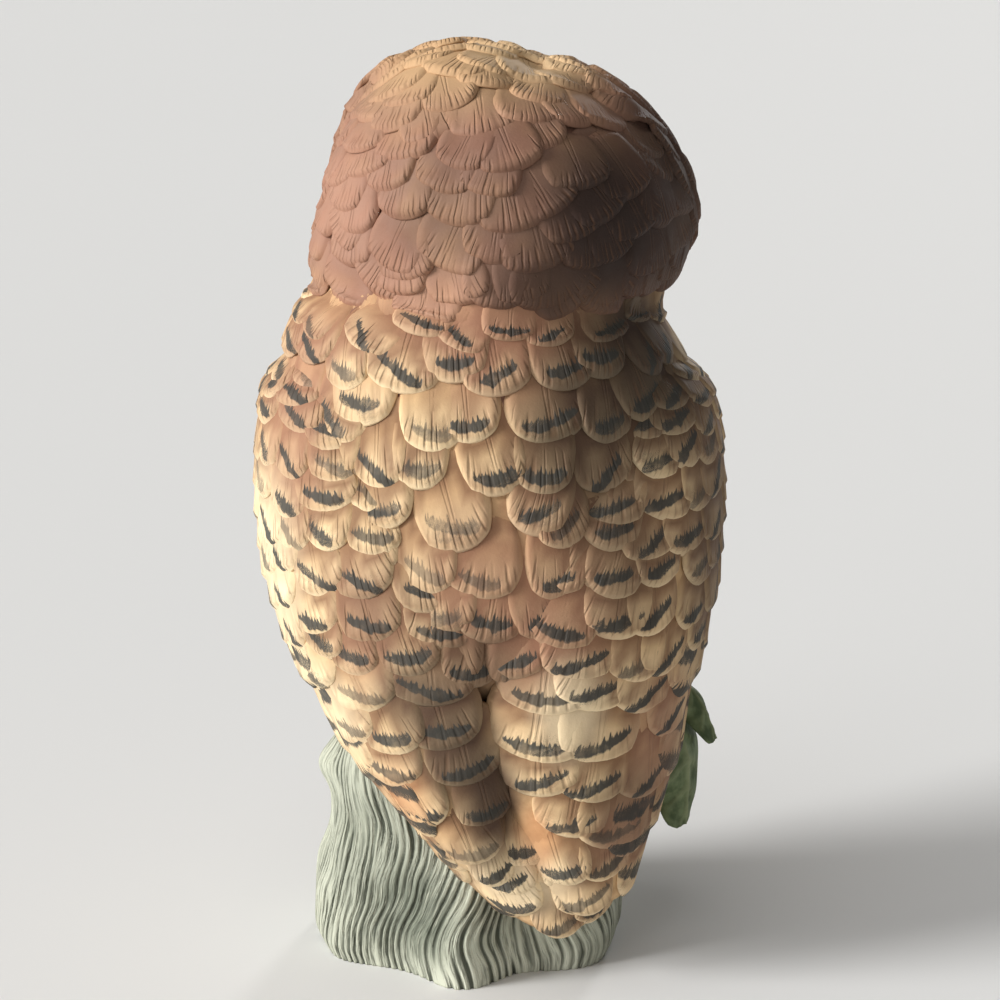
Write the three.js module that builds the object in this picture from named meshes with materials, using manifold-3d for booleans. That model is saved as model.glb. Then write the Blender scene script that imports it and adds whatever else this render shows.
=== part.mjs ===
// A bisque porcelain owl on a tree stump, cast and fired as one piece.
// Millimetres, +Z up. The owl's body faces -Y, so its own left side is +X and its back is +Y.
// The origin is the middle of the flat underside.

import * as THREE from 'three';
import { mergeVertices } from 'three/addons/utils/BufferGeometryUtils.js';
import Module from 'manifold-3d';

const wasm = await Module();
wasm.setup();

// Driving dimensions

const HEAD_CENTRE = new THREE.Vector3(-10.5, -1, 204);
const HEAD_HALF_WIDTH = 48;
const HEAD_HALF_DEPTH = 44;
const HEAD_HALF_HEIGHT = 44;
const HEAD_TURN = 15; // degrees, toward the owl's right
const CROWN_LEAN = 6; // how far the crown leans toward the owl's left

const MANTLE_RELIEF = 2.1; // height of a feather's tip over the next one
const BREAST_RELIEF = 1.3;
const WING_RELIEF = 2.8;
const HEAD_RELIEF = 1.9;

const STUMP_TOP = 62;
const STUMP_RIBS = 18;
const STUMP_GROOVE = 1.1;

// Curves through a few sizes

// A smooth curve through [position, value] pairs, level beyond both ends.
function profile(pairs) {
  const slope = (i) => {
    const before = pairs[Math.max(i - 1, 0)];
    const after = pairs[Math.min(i + 1, pairs.length - 1)];
    return (after[1] - before[1]) / (after[0] - before[0]);
  };
  return (position) => {
    if (position <= pairs[0][0]) return pairs[0][1];
    const last = pairs[pairs.length - 1];
    if (position >= last[0]) return last[1];
    const i = pairs.findIndex((pair) => pair[0] > position) - 1;
    const span = pairs[i + 1][0] - pairs[i][0];
    const t = (position - pairs[i][0]) / span;
    const start = pairs[i][1];
    const end = pairs[i + 1][1];
    const a = (2 * t ** 3 - 3 * t ** 2 + 1) * start;
    const b = (t ** 3 - 2 * t ** 2 + t) * span * slope(i);
    const c = (3 * t ** 2 - 2 * t ** 3) * end;
    const d = (t ** 3 - t ** 2) * span * slope(i + 1);
    return a + b + c + d;
  };
}

const radians = THREE.MathUtils.degToRad;
const blend = THREE.MathUtils.lerp;
const smooth = THREE.MathUtils.smoothstep;

// A fixed number from 0 to 1 for a row and a feather, for the unevenness of hand carving.
function scatter(row, feather) {
  const value = Math.sin(row * 12.99 + feather * 78.23 + 4.1) * 43758.5;
  return value - Math.floor(value);
}

// Closed solids

// Joins a stack of closed rings of points into a solid with a flat or shallow cap at each end.
function solidFromRings(rings) {
  const count = rings[0].length;
  const points = rings.flat();
  const first = points.length;
  for (const ring of [rings[0], rings[rings.length - 1]]) {
    const middle = new THREE.Vector3();
    ring.forEach((point) => middle.add(point));
    points.push(middle.divideScalar(count));
  }
  const faces = [];
  for (let r = 0; r < rings.length - 1; r += 1) {
    for (let j = 0; j < count; j += 1) {
      const a = r * count + j;
      const b = r * count + ((j + 1) % count);
      faces.push(a, b, b + count, a, b + count, a + count);
    }
  }
  const top = (rings.length - 1) * count;
  for (let j = 0; j < count; j += 1) {
    const next = (j + 1) % count;
    faces.push(first, next, j);
    faces.push(first + 1, top + j, top + next);
  }
  const geometry = new THREE.BufferGeometry().setFromPoints(points);
  geometry.setIndex(faces);
  return solidFromGeometry(geometry);
}

// Turns a closed geometry into a solid, with its faces outward.
function solidFromGeometry(geometry) {
  const bare = geometry.clone();
  bare.deleteAttribute('normal');
  bare.deleteAttribute('uv');
  const merged = mergeVertices(bare, 1e-4);
  const vertices = new Float32Array(merged.attributes.position.array);
  const triangles = new Uint32Array(merged.index.array);
  if (enclosedVolume(vertices, triangles) < 0) {
    for (let i = 0; i < triangles.length; i += 3) {
      [triangles[i], triangles[i + 1]] = [triangles[i + 1], triangles[i]];
    }
  }
  return new wasm.Manifold(new wasm.Mesh({ numProp: 3, vertProperties: vertices, triVerts: triangles }));
}

function enclosedVolume(vertices, triangles) {
  const corner = (i) => new THREE.Vector3().fromArray(vertices, triangles[i] * 3);
  let volume = 0;
  for (let i = 0; i < triangles.length; i += 3) {
    volume += corner(i).dot(corner(i + 1).cross(corner(i + 2))) / 6;
  }
  return volume;
}

// A round bar along a curve, with its radius given from 0 at the start to 1 at the end.
function taperedBar(curve, radiusAt, sides, steps) {
  const frames = curve.computeFrenetFrames(steps, false);
  const rings = [];
  for (let i = 0; i <= steps; i += 1) {
    const centre = curve.getPointAt(i / steps);
    const radius = radiusAt(i / steps);
    const ring = [];
    for (let j = 0; j < sides; j += 1) {
      const angle = (2 * Math.PI * j) / sides;
      const across = frames.normals[i].clone().multiplyScalar(radius * Math.cos(angle));
      const up = frames.binormals[i].clone().multiplyScalar(radius * Math.sin(angle));
      ring.push(centre.clone().add(across).add(up));
    }
    rings.push(ring);
  }
  return solidFromRings(rings);
}

// Rows of overlapping feathers

// Each row is two rings: the raised tips, and the skin tucked in below them, where the next row
// starts. Neighbouring rows are half a feather apart. A feather's width has a number of flat
// facets. place(along, across, lift) gives a point.
function featherRows({ tips, overlap, feathers, facets, closed, relief, place }) {
  const rings = [];
  const columns = feathers * facets + (closed ? 0 : 1);
  tips.forEach((tip, row) => {
    const raised = [];
    const tucked = [];
    for (let j = 0; j < columns; j += 1) {
      const shifted = j / facets + (row % 2) / 2;
      const u = shifted - Math.floor(shifted) - 0.5;
      const uneven = 0.8 + 0.4 * scatter(row, Math.floor(shifted) % feathers);
      const reach = Math.sqrt(1 - (2 * u) ** 2) * uneven;
      const across = j / (feathers * facets);
      const along = tip + overlap * reach;
      const lift = relief(along, across) * (0.55 + 0.45 * Math.cos(Math.PI * u)) * uneven;
      raised.push(place(along, across, lift));
      tucked.push(place(along + overlap * 0.06, across, -0.2));
    }
    rings.push(raised, tucked);
  });
  return rings;
}

// Body

// Half width, depth behind and depth in front of the body's line at each height.
const bodyLine = profile([[17, -25], [45, -15], [75, -10], [105, -7], [150, -6], [165, -5], [180, -2.5]]);
const mantleWidth = profile([[14, 14], [30, 28], [45, 36], [60, 41], [75, 45], [90, 51], [105, 55.5],
  [120, 57.8], [135, 58.6], [150, 58.3], [165, 56], [178, 50.5]]);
const mantleDepth = profile([[14, 34], [30, 39], [60, 45.5], [90, 51], [120, 53.5], [150, 51], [165, 47]]);
const torsoWidth = profile([[50, 33], [62, 36], [75, 42], [90, 48.5], [105, 53], [120, 56.5], [135, 57.5],
  [150, 56.5], [165, 53.5], [178, 48.5], [188, 40]]);
const torsoBack = profile([[50, 27], [62, 36], [75, 42], [88, 46.5], [97, 51.5], [120, 53.5], [150, 51],
  [165, 47.5], [180, 42], [188, 35]]);
const torsoFront = profile([[50, 24], [62, 33], [75, 42], [90, 48], [105, 52], [125, 54], [150, 50],
  [165, 46], [180, 41], [188, 34]]);

// A point round the body. The angle runs from the middle of the back toward the owl's left.
function roundBody(width, back, front, angle, height, lift) {
  const side = Math.sin(radians(angle));
  const rear = Math.cos(radians(angle));
  const depth = rear > 0 ? back : front;
  const outward = new THREE.Vector3(side / width, rear / depth, 0).normalize();
  const x = bodyLine(height) + width * Math.sign(side) * Math.abs(side) ** 0.92;
  const y = depth * Math.sign(rear) * Math.abs(rear) ** 0.96;
  return new THREE.Vector3(x, y, height).addScaledVector(outward, lift);
}

function torso() {
  const feathers = 18;
  const facets = 4;
  const tips = [178, 164.5, 151, 137.5, 124, 110.5, 97, 84, 72];
  const place = (along, across, lift) => {
    const angle = 360 * across - 180;
    return roundBody(torsoWidth(along), torsoBack(along), torsoFront(along), angle, along, lift);
  };
  const relief = (along, across) => {
    const front = smooth(Math.abs(360 * across - 180), 100, 125);
    return blend(MANTLE_RELIEF, BREAST_RELIEF, front);
  };
  const ring = (height) =>
    Array.from({ length: feathers * facets }, (_, j) => place(height, j / (feathers * facets), 0));
  const rows = featherRows({ tips, overlap: -7.2, feathers, facets, closed: true, relief, place });
  return solidFromRings([ring(188), ...rows, ring(58), ring(52)]);
}

// Wings and tail

// A tract of feathers on the mantle's curve, between two edges that run down from 0 at its top to
// 1 at its tip. Each edge lists [place, angle round the body, height]. rise is its swell above the
// mantle along its middle, and edgeRise that along the leading edge. Its start is sunk into the
// body, and its inner side is buried in the body and the stump.
function featherTract({ lead, trail, rise, edgeRise, bow, start, sink, tips, overlap, feathers, facets }) {
  const leadAngle = profile(lead.map(([s, angle]) => [s, angle]));
  const leadHeight = profile(lead.map(([s, , height]) => [s, height]));
  const trailAngle = profile(trail.map(([s, angle]) => [s, angle]));
  const trailHeight = profile(trail.map(([s, , height]) => [s, height]));
  const spot = (s, t, lift, inset) => {
    const angle = blend(leadAngle(s), trailAngle(s), t);
    const droop = bow * smooth(s, 0.5, 1) * (1 - (2 * t - 1) ** 2);
    const height = blend(leadHeight(s), trailHeight(s), t) - droop;
    const depth = mantleDepth(height);
    const point = roundBody(mantleWidth(height), depth, depth, angle, height, lift);
    return point.lerp(new THREE.Vector3(bodyLine(height), 0, height), inset);
  };
  const place = (s, t, lift) => {
    const swell = rise(s) * Math.sin(Math.PI * t) ** 0.75 + edgeRise(s) * (1 - smooth(t, 0, 0.5));
    const buried = sink * (1 - smooth(s, start, tips[0]));
    return spot(s, t, lift + swell - buried, 0);
  };
  const relief = () => WING_RELIEF;
  const rows = featherRows({ tips, overlap, feathers, facets, closed: false, relief, place });
  const columns = feathers * facets;
  const top = Array.from({ length: columns + 1 }, (_, j) => place(start, j / columns, 0));
  const rings = [top, ...rows].map((outer, i) => {
    const s = i === 0 ? start : tips[Math.floor((i - 1) / 2)];
    const inner = [0.98, 0.5, 0.02].map((t) => spot(s, t, 0, 0.45));
    return [...outer, ...inner];
  });
  return solidFromRings(rings);
}

// One folded wing: small coverts down to the flank, then the long quills to its tip.
function wing({ lead, trail }) {
  const shape = {
    lead,
    trail,
    rise: profile([[0, 1.5], [0.2, 3], [0.5, 4.5], [0.8, 8], [1, 6]]),
    edgeRise: profile([[0, 0.5], [0.2, 3.5], [0.5, 3], [0.8, 1]]),
    bow: 3,
  };
  const coverts = featherTract({
    ...shape, start: 0, sink: 5, tips: [0.1, 0.19, 0.28, 0.37, 0.46, 0.55], overlap: 0.05,
    feathers: 5, facets: 4,
  });
  const quills = featherTract({
    ...shape, start: 0.42, sink: 6, tips: [0.64, 0.72, 0.8, 0.88, 0.96], overlap: 0.055,
    feathers: 3, facets: 5,
  });
  return [coverts, quills];
}

function leftWing() {
  return wing({
    lead: [[0, 100, 170], [0.2, 116, 146], [0.4, 117, 118], [0.52, 112, 101], [0.62, 99, 86], [0.72, 75, 69],
      [0.84, 51, 57], [0.93, 39, 48], [1, 32, 42]],
    trail: [[0, 62, 173], [0.2, 38, 150], [0.4, 18, 122], [0.52, 6, 103], [0.62, 3, 87], [0.74, 1, 69],
      [0.85, 0, 55], [0.93, 2, 44], [1, 5, 36]],
  });
}

function rightWing() {
  return wing({
    lead: [[0, -100, 170], [0.2, -116, 146], [0.4, -117, 118], [0.52, -113, 100], [0.62, -106, 82],
      [0.72, -90, 64], [0.84, -69, 48], [0.93, -57, 36], [1, -50, 28]],
    trail: [[0, -62, 173], [0.2, -38, 150], [0.4, -18, 122], [0.52, -8, 102], [0.62, -5, 86], [0.74, -4, 67],
      [0.85, -4, 50], [0.93, -6, 37], [1, -10, 27]],
  });
}

function tail() {
  return featherTract({
    lead: [[0, 46, 72], [0.6, 46, 42], [1, 42, 28], [1.1, 38, 25]],
    trail: [[0, -54, 72], [0.6, -56, 42], [1, -55, 26], [1.1, -50, 23]],
    rise: () => 1,
    edgeRise: () => 0,
    bow: 9,
    start: 0,
    sink: 6,
    tips: [0.6, 0.8, 1],
    overlap: 0.1,
    feathers: 4,
    facets: 4,
  });
}

// Head

const headAxes = new THREE.Matrix4().makeRotationZ(radians(-HEAD_TURN));

// A point given from the head's centre: toward its left side, forward to the face, and up.
function headPoint(side, forward, up) {
  const lean = CROWN_LEAN * (Math.max(up, 0) / HEAD_HALF_HEIGHT) ** 2;
  return new THREE.Vector3(side + lean, -forward, up).applyMatrix4(headAxes).add(HEAD_CENTRE);
}

// How far out a point is on the head's form: below 1 is inside. The face side is boxier, the jaw
// narrower, and the nape runs down full on the left, where the turned head stretches it.
function headForm(side, forward, up) {
  const power = forward > 0 ? 2.6 : 2;
  const cheek = 1 + 0.08 * Math.exp(-(((up - 2) / 16) ** 2)) * smooth(forward, -5, 18);
  const jaw = 1 - 0.16 * smooth(-up, 2, 34) * (side < 0 ? 1 : smooth(forward, -5, 20));
  const temple = smooth(up, 8, 36);
  const nape = 1 + (side < 0 ? -0.05 - 0.05 * temple : 0.13 * smooth(-up, -8, 20) - 0.02 * temple);
  const across = Math.abs(side / (HEAD_HALF_WIDTH * cheek * jaw * nape)) ** power;
  const deep = Math.abs(forward / HEAD_HALF_DEPTH) ** power;
  const high = Math.abs(up / HEAD_HALF_HEIGHT) ** power;
  return across + deep + high;
}

// The feather rows circle out from the face: each lies in a plane that swings back about a line
// under the chin, from upright at the face to level at the neck.
const CHIN_FORWARD = 43;
const CHIN_DOWN = 35;

// The masses of feathers on the head: a tuft on the crown's left beside a notch, a parting between
// the brows, a furrow down the middle of the nape and a lobe hanging on its right.
function headMasses(side, forward, up) {
  const bump = (middle, width) => Math.exp(-(((side - middle) / width) ** 2));
  const tuft = 1.4 * bump(9, 11) * smooth(up, 26, 42);
  const notch = 2 * bump(-13.5, 4) * smooth(up, 30, 41);
  const fall = 0.7 * smooth(-side, 0, 16) * smooth(up, 26, 40);
  const parting = 3.2 * bump(1, 7) * smooth(up, 12, 34) * smooth(forward, 6, 26);
  const furrow = 1.2 * bump(2, 4) * smooth(-forward, 12, 32) * smooth(up, -2, 12);
  const hang = smooth(-side, -3, 3) * smooth(side, -28, -10);
  const lobe = 2.4 * hang * smooth(-up, -2, 10) * smooth(-forward, 8, 24);
  return tuft - notch - fall - parting - furrow + lobe;
}

function head() {
  const feathers = 14;
  const facets = 4;
  const tips = [18, 29.5, 41, 53, 65, 77, 88];
  const place = (swing, across, lift) => {
    const direction = new THREE.Vector2(-Math.sin(radians(swing)), Math.cos(radians(swing)));
    const spotAt = (reach, side) =>
      [side, CHIN_FORWARD + direction.x * reach, direction.y * reach - CHIN_DOWN];
    let near = 0;
    while (headForm(...spotAt(near, 0)) > 1) near += 0.5;
    let far = near;
    while (headForm(...spotAt(far, 0)) < 1) far += 0.5;
    const middle = (near + far) / 2;
    const angle = 2 * Math.PI * across;
    const ray = (length) => spotAt(middle + length * Math.cos(angle), length * Math.sin(angle));
    let inner = 0;
    let outer = 80;
    for (let step = 0; step < 30; step += 1) {
      const half = (inner + outer) / 2;
      if (headForm(...ray(half)) < 1) inner = half;
      else outer = half;
    }
    const [side, forward, up] = ray(inner);
    const outward = new THREE.Vector3(side, forward, up).normalize();
    const push = lift + headMasses(side, forward, up);
    return headPoint(side + outward.x * push, forward + outward.y * push, up + outward.z * push);
  };
  const ring = (swing) =>
    Array.from({ length: feathers * facets }, (_, j) => place(swing, j / (feathers * facets), 0));
  const relief = () => HEAD_RELIEF;
  const rows = featherRows({ tips, overlap: 5.5, feathers, facets, closed: true, relief, place });
  return solidFromRings([ring(11), ...rows, ring(100)]);
}

// A shallow dish of feathers round one eye, with its rim raised. side is 1 for the owl's left.
function faceDisc(side) {
  const columns = 16;
  const steps = [[1.06, -16], [1, -1], [0.92, 2.8], [0.76, 1.2], [0.5, -2], [0.36, -3.4]];
  const tilt = radians(17) * side;
  return solidFromRings(
    steps.map(([reach, out]) =>
      Array.from({ length: columns }, (_, j) => {
        const angle = (2 * Math.PI * j) / columns;
        const across = 22.5 * reach * Math.cos(angle);
        const up = (27 + 3 * Math.sin(angle)) * reach * Math.sin(angle) - 3;
        const sideways = side * 20.5 + across * Math.cos(tilt) + out * Math.sin(tilt);
        const forward = 37 - across * Math.sin(tilt) + out * Math.cos(tilt) - 0.12 * up;
        return headPoint(sideways, forward, up);
      }),
    ),
  );
}

function eye(side) {
  const ball = new THREE.SphereGeometry(9.2, 12, 7);
  const centre = headPoint(side * 18.5, 31.5, -1);
  return solidFromGeometry(ball.translate(centre.x, centre.y, centre.z));
}

// A blunt ridge from the root of the beak up over the eye to the corner of the crown.
function brow(side) {
  const path = [[3, 40, 4], [8, 40.5, 14], [16, 38, 21.5], [26, 31.5, 25], [33.5, 21, 22]];
  const curve = new THREE.CatmullRomCurve3(path.map(([a, b, c]) => headPoint(side * a, b, c)));
  const radius = profile([[0, 2.4], [0.4, 4], [0.75, 4.6], [1, 2]]);
  return taperedBar(curve, radius, 8, 7);
}

function beak() {
  const path = [[0, 33, 4], [0, 40.5, 0], [0, 45.5, -7], [0, 45.5, -14], [0, 42.5, -19]];
  const curve = new THREE.CatmullRomCurve3(path.map(([a, b, c]) => headPoint(a, b, c)));
  const radius = profile([[0, 6], [0.4, 5.4], [0.75, 3.8], [1, 0.8]]);
  return taperedBar(curve, radius, 8, 6);
}

// Feet

function foot(side) {
  const ankle = [side * 17 - 4, -20, 70];
  const toes = [-26, 0, 26].map((splay) => {
    const reach = (length) => [
      ankle[0] + length * Math.sin(radians(splay)),
      ankle[1] - length * Math.cos(radians(splay)),
    ];
    const path = [
      [...reach(0), 69], [...reach(9), 68], [...reach(17), 66.5], [...reach(22), 63], [...reach(23.5), 57],
    ];
    const curve = new THREE.CatmullRomCurve3(path.map((point) => new THREE.Vector3(...point)));
    const radius = profile([[0, 4.6], [0.3, 4.2], [0.6, 4.4], [0.75, 2.8], [1, 0.7]]);
    return taperedBar(curve, radius, 6, 5);
  });
  const thighPath = [[side * 20 - 5, -20, 92], [side * 18 - 4, -22, 76], [side * 17 - 4, -20, 66]];
  const thighCurve = new THREE.CatmullRomCurve3(thighPath.map((point) => new THREE.Vector3(...point)));
  const thigh = taperedBar(thighCurve, profile([[0, 17], [0.5, 14], [1, 8.5]]), 10, 4);
  return [thigh, ...toes];
}

// Stump

function stump() {
  const columns = STUMP_RIBS * 2;
  const halfWidth = profile([[0, 41], [5, 43], [18, 43], [38, 38], [52, 37.5], [62, 35]]);
  const halfDepth = profile([[0, 32], [18, 31.5], [38, 31], [52, 33], [62, 33]]);
  const centreY = profile([[0, -8], [30, -6], [62, -5]]);
  const roots = [[2, 9, 14], [52, 4, 18], [-46, 6, 18], [150, 7, 22], [-140, 6, 20]];
  const heights = [0, 5, 16, 28, 40, 50, 58, STUMP_TOP];
  const rings = heights.map((height) =>
    Array.from({ length: columns }, (_, j) => {
      const sway = 5 * Math.sin(height / 11 + j * 0.45);
      const angle = (360 * j) / columns + sway * smooth(height, 0, 20);
      const fade = 1 - smooth(height, 4, 46);
      let flare = 0;
      roots.forEach(([place, reach, width]) => {
        const away = ((angle - place + 540) % 360) - 180;
        flare += reach * Math.exp(-((away / width) ** 2)) * fade;
      });
      const knot = 3.5 * Math.exp(-(((angle - 88) / 14) ** 2) - ((height - 52) / 7) ** 2);
      const groove = j % 2 ? -STUMP_GROOVE : STUMP_GROOVE;
      const edge = height === STUMP_TOP ? -3 : 0;
      const grow = flare + knot + groove + edge;
      const x = (halfWidth(height) + grow) * Math.sin(radians(angle));
      const y = centreY(height) + (halfDepth(height) + grow) * Math.cos(radians(angle));
      return new THREE.Vector3(x, y, height);
    }),
  );
  return solidFromRings(rings);
}

// Leaves on the stump's right side

// A lobed leaf along a curve from its stalk to its tip, thin at the edges and thick at the rib. end is
// how wide its blunt tip is beside its middle.
function leaf({ path, width, face, curl, lobes, end }) {
  const curve = new THREE.CatmullRomCurve3(path.map((point) => new THREE.Vector3(...point)));
  const steps = 7;
  const rings = [];
  for (let i = 0; i <= steps; i += 1) {
    const t = i / steps;
    const centre = curve.getPointAt(t);
    const along = curve.getTangentAt(t);
    const out = new THREE.Vector3(...face).normalize();
    const across = new THREE.Vector3().crossVectors(along, out).normalize();
    out.crossVectors(across, along).normalize();
    const taper = blend(0.25, end, t);
    const outline = taper + (1 - taper) * Math.sin(Math.PI * t) ** 0.6;
    const half = (width / 2) * outline * (1 + 0.14 * Math.cos(2 * Math.PI * lobes * t));
    const spot = (sideways, height) =>
      centre.clone().addScaledVector(across, sideways * half).addScaledVector(out, height);
    const drop = -curl * outline;
    rings.push([
      spot(-1, drop + 0.7), spot(-0.5, drop * 0.3 + 1.5), spot(0, 1.1), spot(0.5, drop * 0.3 + 1.5),
      spot(1, drop + 0.7), spot(1, drop - 0.7), spot(0, -1.3), spot(-1, drop - 0.7),
    ]);
  }
  return solidFromRings(rings);
}

function leaves() {
  return [
    leaf({
      path: [[-34, -6, 66], [-50, -4, 67], [-59.5, -2, 55], [-60, -1, 31]],
      width: 25, face: [-1, 0.7, 0.35], curl: 3, lobes: 3, end: 0.55,
    }),
    leaf({
      path: [[-34, -12, 64], [-53, -12, 72], [-62.5, -9, 69], [-68.5, -7, 56.5]],
      width: 14, face: [-0.5, 0.2, 1], curl: 2, lobes: 2, end: 0.4,
    }),
    leaf({
      path: [[-32, -22, 62], [-44, -32, 58], [-48, -38, 46], [-46, -40, 32]],
      width: 20, face: [-0.7, -1, 0.3], curl: 3, lobes: 3, end: 0.4,
    }),
  ];
}

// One fused body

const solids = [
  torso(), ...leftWing(), ...rightWing(), tail(), head(), beak(), stump(), ...leaves(),
  ...[1, -1].flatMap((side) => [faceDisc(side), eye(side), brow(side), ...foot(side)]),
];
let fused = solids[0];
solids.slice(1).forEach((solid) => {
  fused = fused.add(solid);
});
fused = fused.simplify(0.3);

// The outer skin alone, without the small voids left between the joined forms.
const [skin] = fused.decompose().sort((a, b) => b.volume() - a.volume());
const box = skin.boundingBox();
const cast = skin.translate([-(box.min[0] + box.max[0]) / 2, -(box.min[1] + box.max[1]) / 2, -box.min[2]]);
const surface = cast.getMesh();
const geometry = new THREE.BufferGeometry();
geometry.setAttribute('position', new THREE.BufferAttribute(new Float32Array(surface.vertProperties), 3));
geometry.setIndex(new THREE.BufferAttribute(new Uint32Array(surface.triVerts), 1));
geometry.computeVertexNormals();

const bisque = new THREE.MeshStandardMaterial({ color: 0xc9a37c, roughness: 0.75, metalness: 0 });
const owl = new THREE.Mesh(geometry, bisque);
owl.name = 'owl_figurine';

const figurine = new THREE.Group();
figurine.add(owl);

export default figurine;
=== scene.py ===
"""A bisque porcelain owl on a tree stump: carved and painted feathers, face, feet, bark and leaves.

Sizes are millimetres in the casting's own axes and become metres when a mesh is made. +Z is up, the
owl's body faces -Y, and its own left side is +X.
"""

import math

import bmesh
import bpy
import numpy as np
from mathutils import Matrix, Vector, noise
from mathutils.bvhtree import BVHTree


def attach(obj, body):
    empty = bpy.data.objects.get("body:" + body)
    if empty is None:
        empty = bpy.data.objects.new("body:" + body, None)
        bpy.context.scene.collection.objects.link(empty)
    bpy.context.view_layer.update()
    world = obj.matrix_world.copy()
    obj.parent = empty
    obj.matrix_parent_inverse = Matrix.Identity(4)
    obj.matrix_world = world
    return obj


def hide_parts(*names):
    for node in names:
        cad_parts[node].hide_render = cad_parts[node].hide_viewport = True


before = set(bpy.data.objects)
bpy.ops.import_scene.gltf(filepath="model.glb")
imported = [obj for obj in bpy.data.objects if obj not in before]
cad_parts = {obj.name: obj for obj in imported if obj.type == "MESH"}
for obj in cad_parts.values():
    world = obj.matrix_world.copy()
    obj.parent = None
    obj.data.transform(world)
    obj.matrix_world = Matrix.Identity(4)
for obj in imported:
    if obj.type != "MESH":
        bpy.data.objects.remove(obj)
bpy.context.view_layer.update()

bl_info = {
    "name": "Bisque owl figurine",
    "version": (1, 0, 0),
    "blender": (4, 5, 0),
    "location": "3D View > Sidebar > Owl",
    "description": "Carved and painted surfaces of a porcelain owl on a stump",
    "category": "Object",
}

CAST_NODE = "owl_figurine"
CAST_BODY = "root"
CAST_SHIFT = Vector((6.374, 0, 0))
MM = 0.001

# Sizes shared with the casting

HEAD_CENTRE = Vector((-10.5, -1, 204))
HEAD_HALF_WIDTH = 48
HEAD_HALF_DEPTH = 44
HEAD_HALF_HEIGHT = 44
HEAD_TURN = math.radians(15)
CROWN_LEAN = 6
CHIN_FORWARD = 43
CHIN_DOWN = 35
NECK_FILLET = 5
NAPE_START = 56
NAPE_END = 186
VALLEY_TOP = 83
SHOULDER_START = 160
STUMP_TOP = 62
BODY_AXIS = -8
KNOT_ANGLE = 88
KNOT_HEIGHT = 52
EYE_RADIUS = 9.2

# Facial discs: where the middle of each lies from the head's centre, and how large it is

DISC_SIDE = 20.5
DISC_FORWARD = 37
DISC_DOWN = 3
DISC_HALF_WIDTH = 22.5
DISC_HALF_HEIGHT = 28

# Feathers

PRIMARY_HALF_LENGTH = 18.0
BAR_PLACE = 0.66

# Camera, from the photo

CAMERA_PLACE = (-0.00263, 0.59887, 0.28847)
CAMERA_TARGET = (-0.00263, 0, 0.128)
CAMERA_LENS = 82.8


# Curves and small helpers


def profile(pairs):
    """A smooth curve through [position, value] pairs, level beyond both ends."""
    places = [pair[0] for pair in pairs]
    values = [pair[1] for pair in pairs]
    last = len(pairs) - 1

    def slope(i):
        low = max(i - 1, 0)
        high = min(i + 1, last)
        return (values[high] - values[low]) / (places[high] - places[low])

    slopes = [slope(i) for i in range(len(pairs))]

    def value(position):
        if position <= places[0]:
            return values[0]
        if position >= places[-1]:
            return values[-1]
        i = next(k for k in range(last) if places[k + 1] > position)
        span = places[i + 1] - places[i]
        t = (position - places[i]) / span
        start = (2 * t**3 - 3 * t**2 + 1) * values[i] + (t**3 - 2 * t**2 + t) * span * slopes[i]
        return start + (3 * t**2 - 2 * t**3) * values[i + 1] + (t**3 - t**2) * span * slopes[i + 1]

    return value


def smooth(value, low, high):
    """Rises from 0 to 1 as the value goes from low to high."""
    t = min(max((value - low) / (high - low), 0), 1)
    return t * t * (3 - 2 * t)


def blend(a, b, t):
    return a + (b - a) * t


def to_frame(point):
    """From casting millimetres to metres in the shared frame."""
    return (Vector(point) + CAST_SHIFT) * MM


def circle(count):
    """Angles evenly spread round a full turn, in radians."""
    return [2 * math.pi * j / count for j in range(count)]


def curve_through(points, steps):
    """Points evenly spread along a smooth curve through the given points."""
    knots = [Vector(p) for p in points]
    fine = []
    for i in range(len(knots) - 1):
        before = knots[max(i - 1, 0)]
        after = knots[min(i + 2, len(knots) - 1)]
        for k in range(24):
            t = k / 24
            a = -0.5 * t + t**2 - 0.5 * t**3
            b = 1 - 2.5 * t**2 + 1.5 * t**3
            c = 0.5 * t + 2 * t**2 - 1.5 * t**3
            d = -0.5 * t**2 + 0.5 * t**3
            fine.append(a * before + b * knots[i] + c * knots[i + 1] + d * after)
    fine.append(knots[-1])
    lengths = [0]
    for p, q in zip(fine, fine[1:]):
        lengths.append(lengths[-1] + (q - p).length)
    spread = []
    for k in range(steps + 1):
        wanted = lengths[-1] * k / steps
        i = next((j for j in range(len(fine) - 1) if lengths[j + 1] >= wanted), len(fine) - 2)
        part = (wanted - lengths[i]) / max(lengths[i + 1] - lengths[i], 1e-9)
        spread.append(fine[i].lerp(fine[i + 1], part))
    return spread


# Meshes


def smooth_object(name, mesh):
    """Puts a mesh in the scene as a smooth-shaded object."""
    mesh.polygons.foreach_set("use_smooth", [True] * len(mesh.polygons))
    piece = bpy.data.objects.new(name, mesh)
    bpy.context.scene.collection.objects.link(piece)
    return piece


def new_piece(name, points, faces, attributes=None):
    """A mesh object from points in casting millimetres."""
    mesh = bpy.data.meshes.new(name)
    mesh.from_pydata([to_frame(p) for p in points], [], faces)
    mesh.validate()
    mesh.update()
    for key, values in (attributes or {}).items():
        kind = "FLOAT_VECTOR" if isinstance(values[0], (tuple, Vector)) else "FLOAT"
        layer = mesh.attributes.new(key, kind, "POINT")
        if kind == "FLOAT":
            layer.data.foreach_set("value", values)
        else:
            layer.data.foreach_set("vector", [c for v in values for c in v])
    return smooth_object(name, mesh)


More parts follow.
